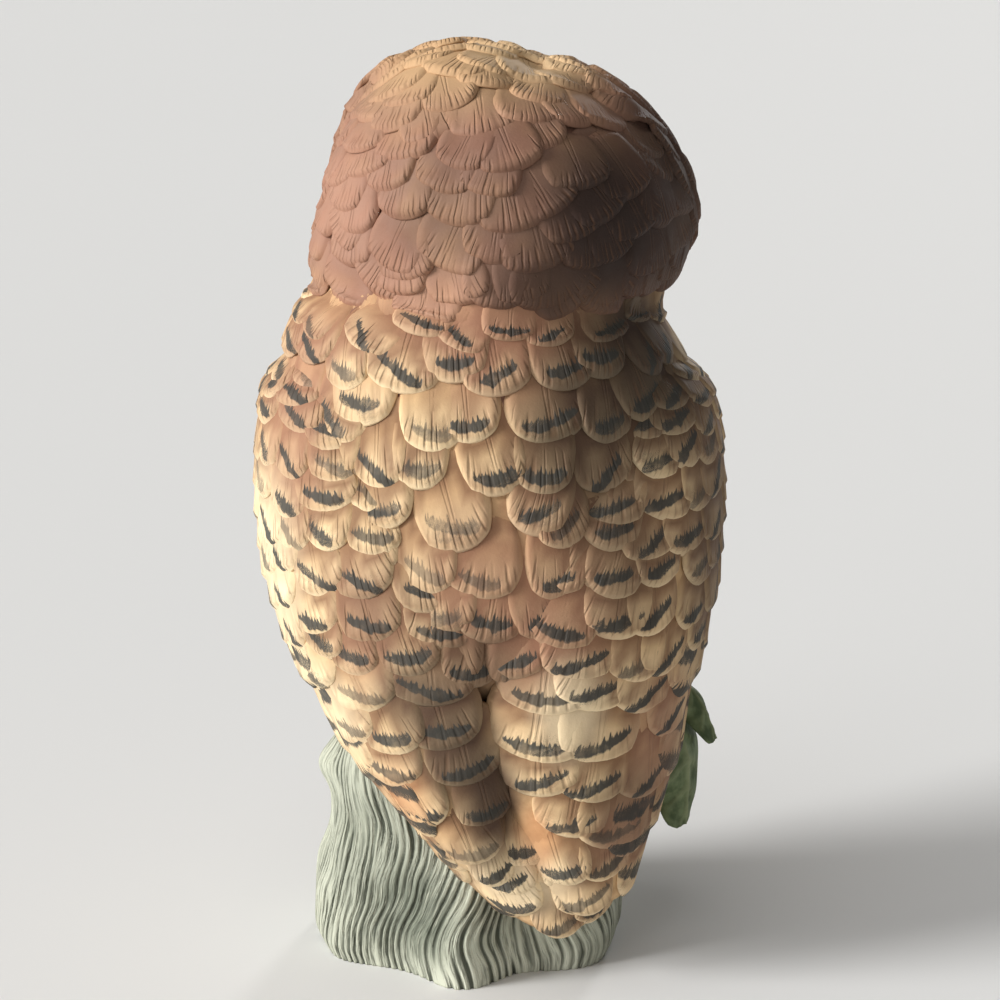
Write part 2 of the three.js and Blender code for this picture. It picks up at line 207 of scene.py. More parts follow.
def ring_faces(rings, around, looped=False):
    """Faces that join closed rings. The stack is closed by a point in the middle of each end, or, when
    it is looped, its last ring is joined to its first."""
    faces = []
    for r in range(rings if looped else rings - 1):
        here = r * around
        above = (r + 1) % rings * around
        for j in range(around):
            k = (j + 1) % around
            faces.append((here + j, here + k, above + k, above + j))
    if not looped:
        first = rings * around
        top = (rings - 1) * around
        for j in range(around):
            k = (j + 1) % around
            faces.append((first, k, j))
            faces.append((first + 1, top + j, top + k))
    return faces


def solid_from_rings(name, rings, attributes=None):
    """A closed mesh from closed rings of points, with its faces outward."""
    around = len(rings[0])
    points = [p for ring in rings for p in ring]
    for ring in (rings[0], rings[-1]):
        points.append(sum((Vector(p) for p in ring), Vector()) / around)
    extra = {}
    for key, values in (attributes or {}).items():
        flat = [v for ring in values for v in ring]
        extra[key] = flat + [values[0][0], values[-1][0]]
    piece = new_piece(name, points, ring_faces(len(rings), around), extra)
    return face_outward(piece)


def face_outward(piece):
    """Turns every face of a closed piece outward."""
    edit = bmesh.new()
    edit.from_mesh(piece.data)
    bmesh.ops.recalc_face_normals(edit, faces=edit.faces)
    if edit.calc_volume(signed=True) < 0:
        bmesh.ops.reverse_faces(edit, faces=edit.faces)
    edit.to_mesh(piece.data)
    edit.free()
    return piece


def open_sheet(name, rows):
    """A smooth guide surface from rows of points; it carries its outward directions."""
    across = len(rows[0])
    points = [p for row in rows for p in row]
    faces = []
    for r in range(len(rows) - 1):
        for j in range(across - 1):
            a = r * across + j
            faces.append((a, a + 1, a + across + 1, a + across))
    sheet = new_piece(name, points, faces)
    normals = [0.0] * (len(points) * 3)
    sheet.data.vertices.foreach_get("normal", normals)
    middle = sum((v.co for v in sheet.data.vertices), Vector()) / len(points)
    inward = 0
    for v in sheet.data.vertices:
        inward += v.normal.dot(v.co - middle) + v.normal.dot(v.co - to_frame((0, 0, v.co.z / MM)))
    if inward < 0:
        sheet.data.flip_normals()
        normals = [-n for n in normals]
    keep_outward(sheet, normals)
    return sheet


def keep_outward(piece, normals):
    layer = piece.data.attributes.new("outward", "FLOAT_VECTOR", "POINT")
    layer.data.foreach_set("vector", normals)


def search_tree(piece):
    """Finds what part of a piece is near a point or in the way of a ray."""
    places = [v.co for v in piece.data.vertices]
    return BVHTree.FromPolygons(places, [p.vertices for p in piece.data.polygons])


def tapered_bar(name, path, radius, around, steps, attribute=None):
    """A round bar along a smooth path; radius(t) runs from its start to its end."""
    line = curve_through(path, steps)
    rings = []
    side = None
    for i, centre in enumerate(line):
        forward = (line[min(i + 1, steps)] - line[max(i - 1, 0)]).normalized()
        if side is None:
            side = forward.orthogonal().normalized()
        side = (side - forward * side.dot(forward)).normalized()
        up = forward.cross(side)
        r = radius(i / steps)
        rings.append([centre + side * (r * math.cos(a)) + up * (r * math.sin(a)) for a in circle(around)])
    marks = [[i / steps] * around for i in range(steps + 1)]
    return solid_from_rings(name, rings, {attribute: marks} if attribute else None)


def join(name, parts):
    """One object from several meshes with the same attributes and material."""
    edit = bmesh.new()
    for part in parts:
        edit.from_mesh(part.data)
    mesh = bpy.data.meshes.new(name)
    edit.to_mesh(mesh)
    edit.free()
    for part in parts:
        bpy.data.objects.remove(part)
    return smooth_object(name, mesh)


def finish_piece(piece, paint=None):
    """Puts a finished piece on the casting's body, in place of the plain casting."""
    if paint is not None:
        piece.data.materials.clear()
        piece.data.materials.append(paint)
    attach(piece, CAST_BODY)
    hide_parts(CAST_NODE)


# Node arithmetic


def feed(tree, value, socket):
    """Links a field or another node's output to an input, or sets the input to a plain value."""
    if isinstance(value, Field):
        value = value.socket
    if isinstance(value, bpy.types.NodeSocket):
        tree.links.new(value, socket)
    else:
        socket.default_value = value


def add_node(tree, kind, inputs=None, **settings):
    """A new node with its settings and inputs. Returns its outputs."""
    node = tree.nodes.new(kind)
    for key, value in settings.items():
        setattr(node, key, value)
    for key, value in (inputs or {}).items():
        feed(tree, value, node.inputs[key])
    return node.outputs


def operation(kind):
    """A method of Field that does one kind of arithmetic."""
    return lambda self, *others: self.math(kind, *others)


class Field:
    """A number on its way through a node tree, with ordinary arithmetic."""

    def __init__(self, tree, socket):
        self.tree = tree
        self.socket = socket

    def math(self, kind, *others):
        terms = dict(enumerate((self, *others)))
        return Field(self.tree, add_node(self.tree, "ShaderNodeMath", terms, operation=kind)[0])

    __add__ = operation("ADD")
    __sub__ = operation("SUBTRACT")
    __mul__ = operation("MULTIPLY")
    __truediv__ = operation("DIVIDE")
    __pow__ = operation("POWER")
    absolute = operation("ABSOLUTE")
    floor = operation("FLOOR")
    larger = operation("MAXIMUM")
    above = operation("GREATER_THAN")

    def step(self, low, high, start=0.0, end=1.0):
        """Rises smoothly from start to end as the value goes from low to high."""
        limits = {"Value": self, "From Min": low, "From Max": high, "To Min": start, "To Max": end}
        made = add_node(self.tree, "ShaderNodeMapRange", limits, interpolation_type="SMOOTHSTEP")
        return Field(self.tree, made["Result"])


def named(tree, name, kind="FLOAT_VECTOR"):
    """An attribute of the mesh that runs through the tree."""
    return add_node(tree, "GeometryNodeInputNamedAttribute", {"Name": name}, data_type=kind)["Attribute"]


def split(tree, vector):
    """A vector's three parts."""
    return [Field(tree, part) for part in add_node(tree, "ShaderNodeSeparateXYZ", {0: vector})]


# One feather and the tree that lays many


BLADE_LINES = (-1, -0.9, -0.66, -0.28, 0.28, 0.66, 0.9, 1)


def feather_blade():
    """A closed scale, flat until it is laid. fan holds its place across and along, and 1 on top."""
    count = len(BLADE_LINES)
    points = []
    fan = []
    for y in BLADE_LINES:
        for x in BLADE_LINES:
            disc = Vector((x * math.sqrt(1 - y * y / 2), y * math.sqrt(1 - x * x / 2), 0))
            place = Vector((x, y, 0)).lerp(disc, 0.93)
            place.x *= 0.92 + 0.08 * smooth(place.y, -1, 0.2)
            points.append(place)
            fan.append((x, y, 1))
    rim = list(range(count))
    rim += [r * count + count - 1 for r in range(1, count)]
    rim += [(count - 1) * count + j for j in range(count - 2, -1, -1)]
    rim += [r * count for r in range(count - 2, 0, -1)]
    faces = []
    for r in range(count - 1):
        for j in range(count - 1):
            a = r * count + j
            faces.append((a, a + 1, a + count + 1, a + count))
    under = []
    for i in rim:
        under.append(len(points))
        points.append(points[i].copy())
        fan.append((fan[i][0], fan[i][1], 0))
    for k in range(len(rim)):
        n = (k + 1) % len(rim)
        faces.append((rim[n], rim[k], under[k], under[n]))
    faces.append(tuple(reversed(under)))
    mesh = bpy.data.meshes.new("feather_blade")
    mesh.from_pydata(points, [], faces)
    layer = mesh.attributes.new("fan", "FLOAT_VECTOR", "POINT")
    layer.data.foreach_set("vector", [c for v in fan for c in v])
    return smooth_object("feather_blade", mesh)


LAYING_INPUTS = (
    ("Feather", "NodeSocketObject", None),
    ("Surface", "NodeSocketObject", None),
    ("Tip lift", "NodeSocketFloat", 0.55),
    ("Root sink", "NodeSocketFloat", 1.0),
    ("Dome", "NodeSocketFloat", 0.4),
    ("Rim", "NodeSocketFloat", 0.35),
    ("Side tilt", "NodeSocketFloat", 0.35),
    ("Unevenness", "NodeSocketFloat", 0.25),
    ("Smoothness", "NodeSocketInt", 1),
    ("Seed", "NodeSocketInt", 1),
    ("Paint", "NodeSocketMaterial", None),
)


def laying_tree():
    """Lays a feather on every guide point and bends it over a surface."""
    tree = bpy.data.node_groups.get("lay_feathers")
    if tree is not None:
        return tree
    tree = bpy.data.node_groups.new("lay_feathers", "GeometryNodeTree")
    tree.interface.new_socket("Geometry", in_out="INPUT", socket_type="NodeSocketGeometry")
    for name, kind, value in LAYING_INPUTS:
        socket = tree.interface.new_socket(name, in_out="INPUT", socket_type=kind)
        if value is not None:
            socket.default_value = value
    tree.interface.new_socket("Geometry", in_out="OUTPUT", socket_type="NodeSocketGeometry")
    given = add_node(tree, "NodeGroupInput")
    number = {name: Field(tree, given[name]) for name, _, _ in LAYING_INPUTS}

    def shape(kind, inputs, **settings):
        """One step of the geometry, or whatever else its first output gives."""
        return add_node(tree, kind, inputs, **settings)[0]

    def store(geometry, name, value):
        inputs = {"Geometry": geometry, "Name": name, "Value": value}
        return shape("GeometryNodeStoreNamedAttribute", inputs, data_type="FLOAT")

    outward = named(tree, "outward")
    tone = add_node(tree, "FunctionNodeRandomValue", {"Seed": given["Seed"]}, data_type="FLOAT")[1]
    guides = store(given["Geometry"], "tone", tone)
    axes = {"Primary Axis": outward, "Secondary Axis": named(tree, "tipward")}
    turn = shape("FunctionNodeAxesToRotation", axes, primary_axis="Z", secondary_axis="Y")
    feather = add_node(tree, "GeometryNodeObjectInfo", {"Object": given["Feather"]})["Geometry"]
    placed = {"Points": guides, "Instance": feather, "Rotation": turn, "Scale": named(tree, "reach")}
    spread = shape("GeometryNodeInstanceOnPoints", placed)
    whole = shape("GeometryNodeRealizeInstances", {"Geometry": spread})
    finer = shape("GeometryNodeSubdivisionSurface", {"Mesh": whole, "Level": given["Smoothness"]})

    surface = add_node(tree, "GeometryNodeObjectInfo", {"Object": given["Surface"]})["Geometry"]

    def on_surface(value):
        """The value that the surface has where it is nearest."""
        inputs = {"Mesh": surface, "Value": value}
        kind = "GeometryNodeSampleNearestSurface"
        return add_node(tree, kind, inputs, data_type="FLOAT_VECTOR")["Value"]

    across, along, top = split(tree, named(tree, "fan"))
    edge = across.absolute().larger(along.absolute())
    ramp = (along * 0.5 + 0.5).larger(0.0) ** 1.15
    rise = ramp * (number["Tip lift"] + number["Root sink"]) - number["Root sink"]
    dome = (across * across * -1.0 + 1.0) * number["Dome"] * (ramp * 0.6 + 0.4)
    rim = edge.step(0.55, 0.84) * number["Rim"] * along.step(-0.4, 0.3)
    wall = edge.step(0.82, 1.0) * (number["Tip lift"] + number["Dome"] * 0.5 + 0.65)
    uneven = (Field(tree, named(tree, "tone", "FLOAT")) - 0.5) * number["Unevenness"] * ramp
    lean = Field(tree, named(tree, "lean", "FLOAT"))
    uneven = uneven + across * number["Side tilt"] * lean * (ramp * 0.5 + 0.5)
    height = (rise + dome + rim - wall + uneven) * top + (top - 1.0) * 0.8
    raised = {0: on_surface(outward), "Scale": height * MM}
    lift = shape("ShaderNodeVectorMath", raised, operation="SCALE")
    foot = on_surface(add_node(tree, "GeometryNodeInputPosition")[0])
    laid = shape("ShaderNodeVectorMath", {0: foot, 1: lift}, operation="ADD")
    bent = shape("GeometryNodeSetPosition", {"Geometry": finer, "Position": laid})

    # Painted shade in the gaps: points close to another feather's rim are marked, and the paint lays its gap
    # colour on them there, where one feather's edge lies over the next, together with the brown airbrushing
    # the grooves have.
    on_rim = (edge - 0.98).above(0.0) * (top - 0.9).above(0.0)
    rims = shape("GeometryNodeSeparateGeometry", {"Geometry": bent, "Selection": on_rim}, domain="POINT")
    gap = add_node(tree, "GeometryNodeProximity", {"Target": rims}, target_element="EDGES")["Distance"]
    close = Field(tree, gap).step(0.0008, 0.0036, 1.0, 0.0)
    groove_shaded = store(bent, "stain", close * edge.step(0.7, 0.95, 1.0, 0.0))
    shaded = shape("GeometryNodeSetShadeSmooth", {"Geometry": groove_shaded})
    painted = shape("GeometryNodeSetMaterial", {"Geometry": shaded, "Material": given["Paint"]})
    add_node(tree, "NodeGroupOutput", {"Geometry": painted})
    return tree


# How the smallest feathers, round the face, differ from the rest
SMALL = {"dome": 0.3, "rim": 0.1, "root_sink": 0.5}


class Guides:
    """Where feathers lie on one surface: the middle of each, its size and the way its tip points."""

    def __init__(self, surface, seed):
        self.surface = surface
        self.tree = search_tree(surface)
        self.random = np.random.default_rng(seed)
        self.rows = []

    def wobble(self, amount):
        """The next random number between -amount and amount."""
        return float(self.random.uniform(-amount, amount))

    def add(self, tip, root_side, half_width, half_length, twist=0.0):
        """tip is the feather's tip and root_side a point behind it, both near the surface."""
        tip = to_frame(tip)
        tipward = (tip - to_frame(root_side)).normalized()
        at, outward, _, _ = self.tree.find_nearest(tip)
        if outward.dot(tip - to_frame((BODY_AXIS, 0, tip.z / MM))) < 0:
            outward = -outward
        tipward = (Matrix.Rotation(twist, 3, outward) @ tipward).normalized()
        tipward = (tipward - outward * tipward.dot(outward)).normalized()
        middle = at - tipward * (half_length * MM)
        near, normal, _, _ = self.tree.find_nearest(middle)
        if normal.dot(outward) < 0:
            normal = -normal
        lean = 1.0 if self.random.uniform() < 0.8 else -1.0
        if near.x > (body_line(near.z / MM) + CAST_SHIFT.x) * MM:
            lean = -lean
        self.rows.append((near, normal, tipward, (half_width * MM, half_length * MM, MM), lean))

    def keep(self, wanted):
        """Drops the feathers whose place and outward direction aren't wanted."""
        self.rows = [row for row in self.rows if wanted(row[0], row[1])]

    def lay(self, name, paint, sizes, **form):
        """Makes the feathers as one plain mesh, left as coarse as they are where no sizes are given."""
        mesh = bpy.data.meshes.new(name)
        mesh.from_pydata([row[0] for row in self.rows], [], [])
        for key, column in (("outward", 1), ("tipward", 2), ("reach", 3)):
            layer = mesh.attributes.new(key, "FLOAT_VECTOR", "POINT")
            layer.data.foreach_set("vector", [c for row in self.rows for c in row[column]])
        mesh.attributes.new("lean", "FLOAT", "POINT").data.foreach_set("value", [row[4] for row in self.rows])
        holder = bpy.data.objects.new(name, mesh)
        bpy.context.scene.collection.objects.link(holder)
        laying = holder.modifiers.new("lay_feathers", "NODES")
        laying.node_group = laying_tree()
        blade = bpy.data.objects.get("feather_blade") or feather_blade()
        values = {"Feather": blade, "Surface": self.surface, "Paint": paint}
        values["Smoothness"] = sizes.smoothness if sizes else 0
        values.update({key.replace("_", " ").capitalize(): value for key, value in form.items()})
        for item in laying.node_group.interface.items_tree:
            if item.in_out == "INPUT" and item.name in values:
                laying[item.identifier] = values[item.name]
        graph = bpy.context.evaluated_depsgraph_get()
        laid = bpy.data.meshes.new_from_object(holder.evaluated_get(graph))
        holder.modifiers.clear()
        holder.data = laid
        laid.name = name
        if len(laid.polygons) == 0:
            raise RuntimeError(f"no feathers were laid for {name}")
        for key in ("outward", "tipward", "reach", "lean"):
            if key in laid.attributes:
                laid.attributes.remove(laid.attributes[key])
        return holder


# Body


body_line = profile([(17, -25), (45, -15), (75, -10), (105, -7), (150, -6), (165, -5), (180, -2.5)])
mantle_width = profile(
    [(14, 14), (30, 28), (45, 36), (60, 41), (75, 45), (90, 51), (105, 55.5), (120, 57.8), (135, 58.6)]
    + [(150, 58.3), (165, 56), (178, 50.5)]
)
mantle_depth = profile([(14, 34), (30, 39), (60, 45.5), (90, 51), (120, 53.5), (150, 51), (165, 47)])
torso_width = profile(
    [(50, 33), (62, 36), (75, 42), (90, 48.5), (105, 53), (120, 56.5), (135, 57.5), (150, 56.5)]
    + [(165, 53.5), (178, 48.5), (188, 40)]
)
torso_back = profile(
    [(50, 27), (62, 36), (75, 42), (88, 46.5), (97, 51.5), (120, 53.5), (150, 51), (165, 47.5)]
    + [(180, 42), (188, 35)]
)
torso_front = profile(
    [(50, 24), (62, 33), (75, 42), (90, 48), (105, 52), (125, 54), (150, 50), (165, 46), (180, 41), (188, 34)]
)


def round_body(width, back, front, angle, height, lift):
    """A point round the body; the angle runs from the middle of the back toward the owl's left."""
    side = math.sin(math.radians(angle))
    rear = math.cos(math.radians(angle))
    depth = back if rear > 0 else front
    outward = Vector((side / width, rear / depth, 0)).normalized()
    x = body_line(height) + width * math.copysign(abs(side) ** 0.92, side)
    y = depth * math.copysign(abs(rear) ** 0.96, rear)
    return Vector((x, y, height)) + outward * lift


def torso_point(height, angle, lift=0.0):
    """A point on the body under the wings."""
    return round_body(torso_width(height), torso_back(height), torso_front(height), angle, height, lift)


# Wings and tail

# How far a tract's guide surface runs past its edges, as a share of its width
PAST_EDGE = 0.14


class Tract:
    """Feathers on the mantle's curve between two edges that run from 0 at its top to 1 at its tip."""

    def __init__(self, lead, trail, rise, edge_rise, bow, sink, rooted, roll):
        self.lead_angle = profile([(s, angle) for s, angle, _ in lead])
        self.lead_height = profile([(s, height) for s, _, height in lead])
        self.trail_angle = profile([(s, angle) for s, angle, _ in trail])
        self.trail_height = profile([(s, height) for s, _, height in trail])
        self.rise = rise
        self.edge_rise = edge_rise
        self.bow = bow
        self.sink = sink
        self.rooted = rooted
        self.roll = roll

    def spot(self, s, t, lift, inset):
        angle = blend(self.lead_angle(s), self.trail_angle(s), t)
        level = min(max(t, 0), 1)
        droop = self.bow * smooth(s, 0.5, 1) * (1 - (2 * level - 1) ** 2)
        height = blend(self.lead_height(s), self.trail_height(s), t) - droop
        depth = mantle_depth(height)
        point = round_body(mantle_width(height), depth, depth, angle, height, lift)
        return point.lerp(Vector((body_line(height), 0, height)), inset)

    def place(self, s, t, lift=0.0):
        """A point on the tract's smooth surface. Past its tip it runs straight on, and past its
        side edges, at t below 0 or above 1, it rolls inward by up to roll millimetres."""
        if s > 1:
            end = self.place(1, t, lift)
            return end + (end - self.place(0.96, t, lift)) * ((s - 1) / 0.04)
        level = min(max(t, 0), 1)
        swell = self.rise(s) * math.sin(math.pi * level) ** 0.75
        swell += self.edge_rise(s) * (1 - smooth(level, 0, 0.5))
        buried = self.sink * (1 - smooth(s, 0, self.rooted))
        rolled = self.roll(s) * (max(-t, t - 1, 0) / PAST_EDGE) ** 1.5
        return self.spot(s, t, lift + swell - buried - rolled, 0)

    def surface(self, name):
        """The guide surface, which runs past every edge."""
        rows = []
        for i in range(1, 64):
            s = max(1.16 * i / 63 - 0.02, 0)
            rows.append([self.place(s, -PAST_EDGE + (1 + 2 * PAST_EDGE) * j / 40) for j in range(41)])
        return open_sheet(name, rows)

    def core(self, name):
        """The closed body under the feathers, which ends just short of the tract's tip."""
        rings = []
        for i in range(40):
            s = 0.97 * i / 39
            top = [self.place(s, j / 24, -0.6) for j in range(25)]
            inner = [self.spot(s, t, 0, 0.45) for t in (0.98, 0.74, 0.5, 0.26, 0.02)]
            rings.append(top + inner)
        return solid_from_rings(name, rings)

    def arc(self, s, start, end):
        """The tract's width in millimetres between two places across it."""
        line = [self.place(s, blend(start, end, j / 12)) for j in range(13)]
        return sum((q - p).length for p, q in zip(line, line[1:]))

    def lay_row(
        self, guides, s, spacing, half_length, phase, cover, twist, plumb=0.7, start=0.0, end=1.0
    ):
        """Marks one row of feathers. cover is their width over their spacing, and plumb how far they
        hang straight down instead of along the tract."""
        width = self.arc(s, start, end)
        count = max(1, round(width / spacing))
        for j in range(-1, count + 1):
            t = start + (end - start) * (j + phase + guides.wobble(0.2)) / count
            if t < max(start - 0.05, -0.1) or t > min(end + 0.05, 1.06):
                continue
            along = s + guides.wobble(0.018)
            half_width = width / count / 2 * cover * (1 + guides.wobble(0.14))
            tip = self.place(along, t)
            behind = self.place(along - 0.04, t)
            above = tip + Vector((0, 0, (tip - behind).length))
            length = half_length * (1 + guides.wobble(0.08))
            guides.add(tip, behind.lerp(above, plumb), half_width, length, guides.wobble(twist))


def wing_tract(lead, trail):
    """A wing between its outer edge and the edge beside the spine, each as (s, angle, height)."""
    rise = profile([(0, 1.5), (0.2, 3), (0.5, 4.5), (0.8, 8), (1, 6)])
    edge_rise = profile([(0, 0.5), (0.2, 3.5), (0.5, 3), (0.8, 1)])
    roll = profile([(0, 2), (0.2, 6), (0.6, 7), (1, 8)])
    return Tract(lead, trail, rise, edge_rise, bow=3, sink=5, rooted=0.1, roll=roll)


def left_wing():
    return wing_tract(
        [(0, 100, 170), (0.2, 116, 146), (0.4, 117, 118), (0.52, 112, 101), (0.62, 99, 86)]
        + [(0.72, 75, 69), (0.84, 51, 57), (0.93, 39, 48), (1, 32, 42)],
        [(0, 62, 173), (0.2, 38, 150), (0.4, 18, 122), (0.52, 7, 103), (0.62, 5, 87)]
        + [(0.74, 4, 69), (0.85, 3, 55), (0.93, 4, 44), (1, 6, 36)],
    )


def right_wing():
    return wing_tract(
        [(0, -100, 170), (0.2, -116, 146), (0.4, -117, 118), (0.52, -113, 100), (0.62, -106, 82)]
        + [(0.72, -90, 64), (0.84, -69, 48), (0.93, -57, 36), (1, -50, 28)],
        [(0, -62, 173), (0.2, -38, 150), (0.4, -18, 122), (0.52, -7, 102), (0.62, -2, 86)]
        + [(0.74, 0, 67), (0.85, 0, 50), (0.93, -3, 37), (1, -8, 27)],
    )


def tail_tract():
    return Tract(
        [(0, 46, 72), (0.6, 50, 42), (1, 54, 25)],
        [(0, -54, 72), (0.6, -52, 42), (1, -45, 22.5)],
        rise=lambda s: 1,
        edge_rise=lambda s: 0,
        bow=7,
        sink=6,
        rooted=0.5,
        roll=lambda s: 4,
    )


# Head


def turned_with_head(side, forward, up):
    """A direction toward the head's left side, forward and up, in the casting's axes."""
    return Matrix.Rotation(-HEAD_TURN, 3, "Z") @ Vector((side, -forward, up))


def on_head(point):
    """How far a point is toward the head's left side, forward and up from its centre."""
    local = Matrix.Rotation(HEAD_TURN, 3, "Z") @ (point - HEAD_CENTRE)
    return local.x, -local.y, local.z


def head_point(side, forward, up):
    """A point given from the head's centre: toward its left side, forward to the face, and up."""
    lean = CROWN_LEAN * (max(up, 0) / HEAD_HALF_HEIGHT) ** 2
    return turned_with_head(side + lean, forward, up) + HEAD_CENTRE


def head_form(side, forward, up):
    """How far out a point is on the head's form: below 1 is inside."""
    power = 2.6 if forward > 0 else 2
    cheek = 1 + 0.08 * math.exp(-(((up - 2) / 16) ** 2)) * smooth(forward, -5, 18)
    jaw = 1 - 0.16 * smooth(-up, 2, 34) * (1 if side < 0 else smooth(forward, -5, 20))
    temple = smooth(up, 8, 36)
    nape = 1 + (-0.05 - 0.05 * temple if side < 0 else 0.13 * smooth(-up, -8, 20) - 0.02 * temple)
    across = abs(side / (HEAD_HALF_WIDTH * cheek * jaw * nape)) ** power
    return across + abs(forward / HEAD_HALF_DEPTH) ** power + abs(up / HEAD_HALF_HEIGHT) ** power


def head_masses(side, forward, up):
    """How far the feather masses push the head's form out: a tuft, a notch, a furrow and a lobe."""

    def bump(middle, width):
        return math.exp(-(((side - middle) / width) ** 2))

    tuft = 1.4 * bump(9, 11) * smooth(up, 26, 42)
    notch = 2 * bump(-13.5, 4) * smooth(up, 30, 41)
    fall = 0.7 * smooth(-side, 0, 16) * smooth(up, 26, 40)
    parting = 3.2 * bump(1, 7) * smooth(up, 12, 34) * smooth(forward, 6, 26)
    furrow = 1.2 * bump(2, 4) * smooth(-forward, 12, 32) * smooth(up, -2, 12)
    hang = smooth(-side, -3, 3) * smooth(side, -28, -10)
    lobe = 2.4 * hang * smooth(-up, -2, 10) * smooth(-forward, 8, 24)
    return tuft - notch - fall - parting - furrow + lobe


def head_place(swing, across, lift=0.0):
    """A point on the head in the plane that swings back about a line under the chin."""
    back = -math.sin(math.radians(swing))
    rise = math.cos(math.radians(swing))

    def spot_at(reach, side):
        return side, CHIN_FORWARD + back * reach, rise * reach - CHIN_DOWN

    near = 0.0
    while head_form(*spot_at(near, 0)) > 1:
        near += 0.5
    far = near
    while head_form(*spot_at(far, 0)) < 1:
        far += 0.5
    middle = (near + far) / 2
    angle = 2 * math.pi * across
    inner = 0.0
    outer = 80.0
    for _ in range(24):
        half = (inner + outer) / 2
        if head_form(*spot_at(middle + half * math.cos(angle), half * math.sin(angle))) < 1:
            inner = half
        else:
            outer = half
    side, forward, up = spot_at(middle + inner * math.cos(angle), inner * math.sin(angle))
    outward = Vector((side, forward, up)).normalized()
    push = lift + head_masses(side, forward, up)
    return head_point(side + outward.x * push, forward + outward.y * push, up + outward.z * push)


def neck_place(height, angle, lift=0.0):
    """A point on the skin drawn over head and shoulders. The angle runs as it does on the body."""
    turn = math.radians(angle)
    outward = Vector((math.sin(turn), math.cos(turn), 0))
    axis = Vector((blend(-3.5, HEAD_CENTRE.x, smooth(height, 172, 204)), 0, height))

    def in_head(point):
        return head_form(*on_head(point)) < 1

    def in_torso(point):
        closing = 1 - smooth(height, 184, 200)
        depth = torso_back(height) if point.y > 0 else torso_front(height)
        side = abs((point.x - body_line(height)) / (torso_width(height) * closing + 0.1))
        return side ** 2.17 + abs(point.y / (depth * closing + 0.1)) ** 2.08 < 1

    def reach(inside):
        low = 0.0
        high = 90.0
        for _ in range(18):
            half = (low + high) / 2
            if inside(axis + outward * half):
                low = half
            else:
                high = half
        return low

    head = reach(in_head)
    head += head_masses(*on_head(axis + outward * head)) if head > 0 else 0
    body = reach(in_torso)
    return axis + outward * ((head + body + math.hypot(head - body, NECK_FILLET)) / 2 + lift)


def neck_sheet():
    """The guide surface over the shoulders, the nape and the lower part of the head."""
    around = 72
    rows = []
    for height in range(138, 240, 2):
        rows.append([neck_place(height, 360 * j / around) for j in range(around + 1)])
    return open_sheet("neck_surface", rows)


def disc_point(side, reach, out, angle):
    """A point on the shallow dish round one eye; side is 1 for the owl's left."""
    tilt = math.radians(17) * side
    across = DISC_HALF_WIDTH * reach * math.cos(angle)
    up = (27 + 3 * math.sin(angle)) * reach * math.sin(angle) - DISC_DOWN
    sideways = side * DISC_SIDE + across * math.cos(tilt) + out * math.sin(tilt)
    forward = DISC_FORWARD - across * math.sin(tilt) + out * math.cos(tilt) - 0.12 * up
    return head_point(sideways, forward, up)


def from_disc(side, up):
    """How far out a spot is from the middle of the nearer disc: 1 is close to its edge."""
    return math.hypot((abs(side) - DISC_SIDE) / DISC_HALF_WIDTH, up / DISC_HALF_HEIGHT)


DISC_DISH = profile([(0.3, -4), (0.5, -2), (0.76, 1.2), (0.92, 2.8), (1, 1.8), (1.06, -0.6), (1.14, -4)])


# Paint


def colour(red, green, blue):
    """A screen colour of 0 to 255 as the light it reflects."""

    def linear(part):
        part /= 255
        return part / 12.92 if part <= 0.04045 else ((part + 0.055) / 1.055) ** 2.4

    return (linear(red), linear(green), linear(blue), 1.0)


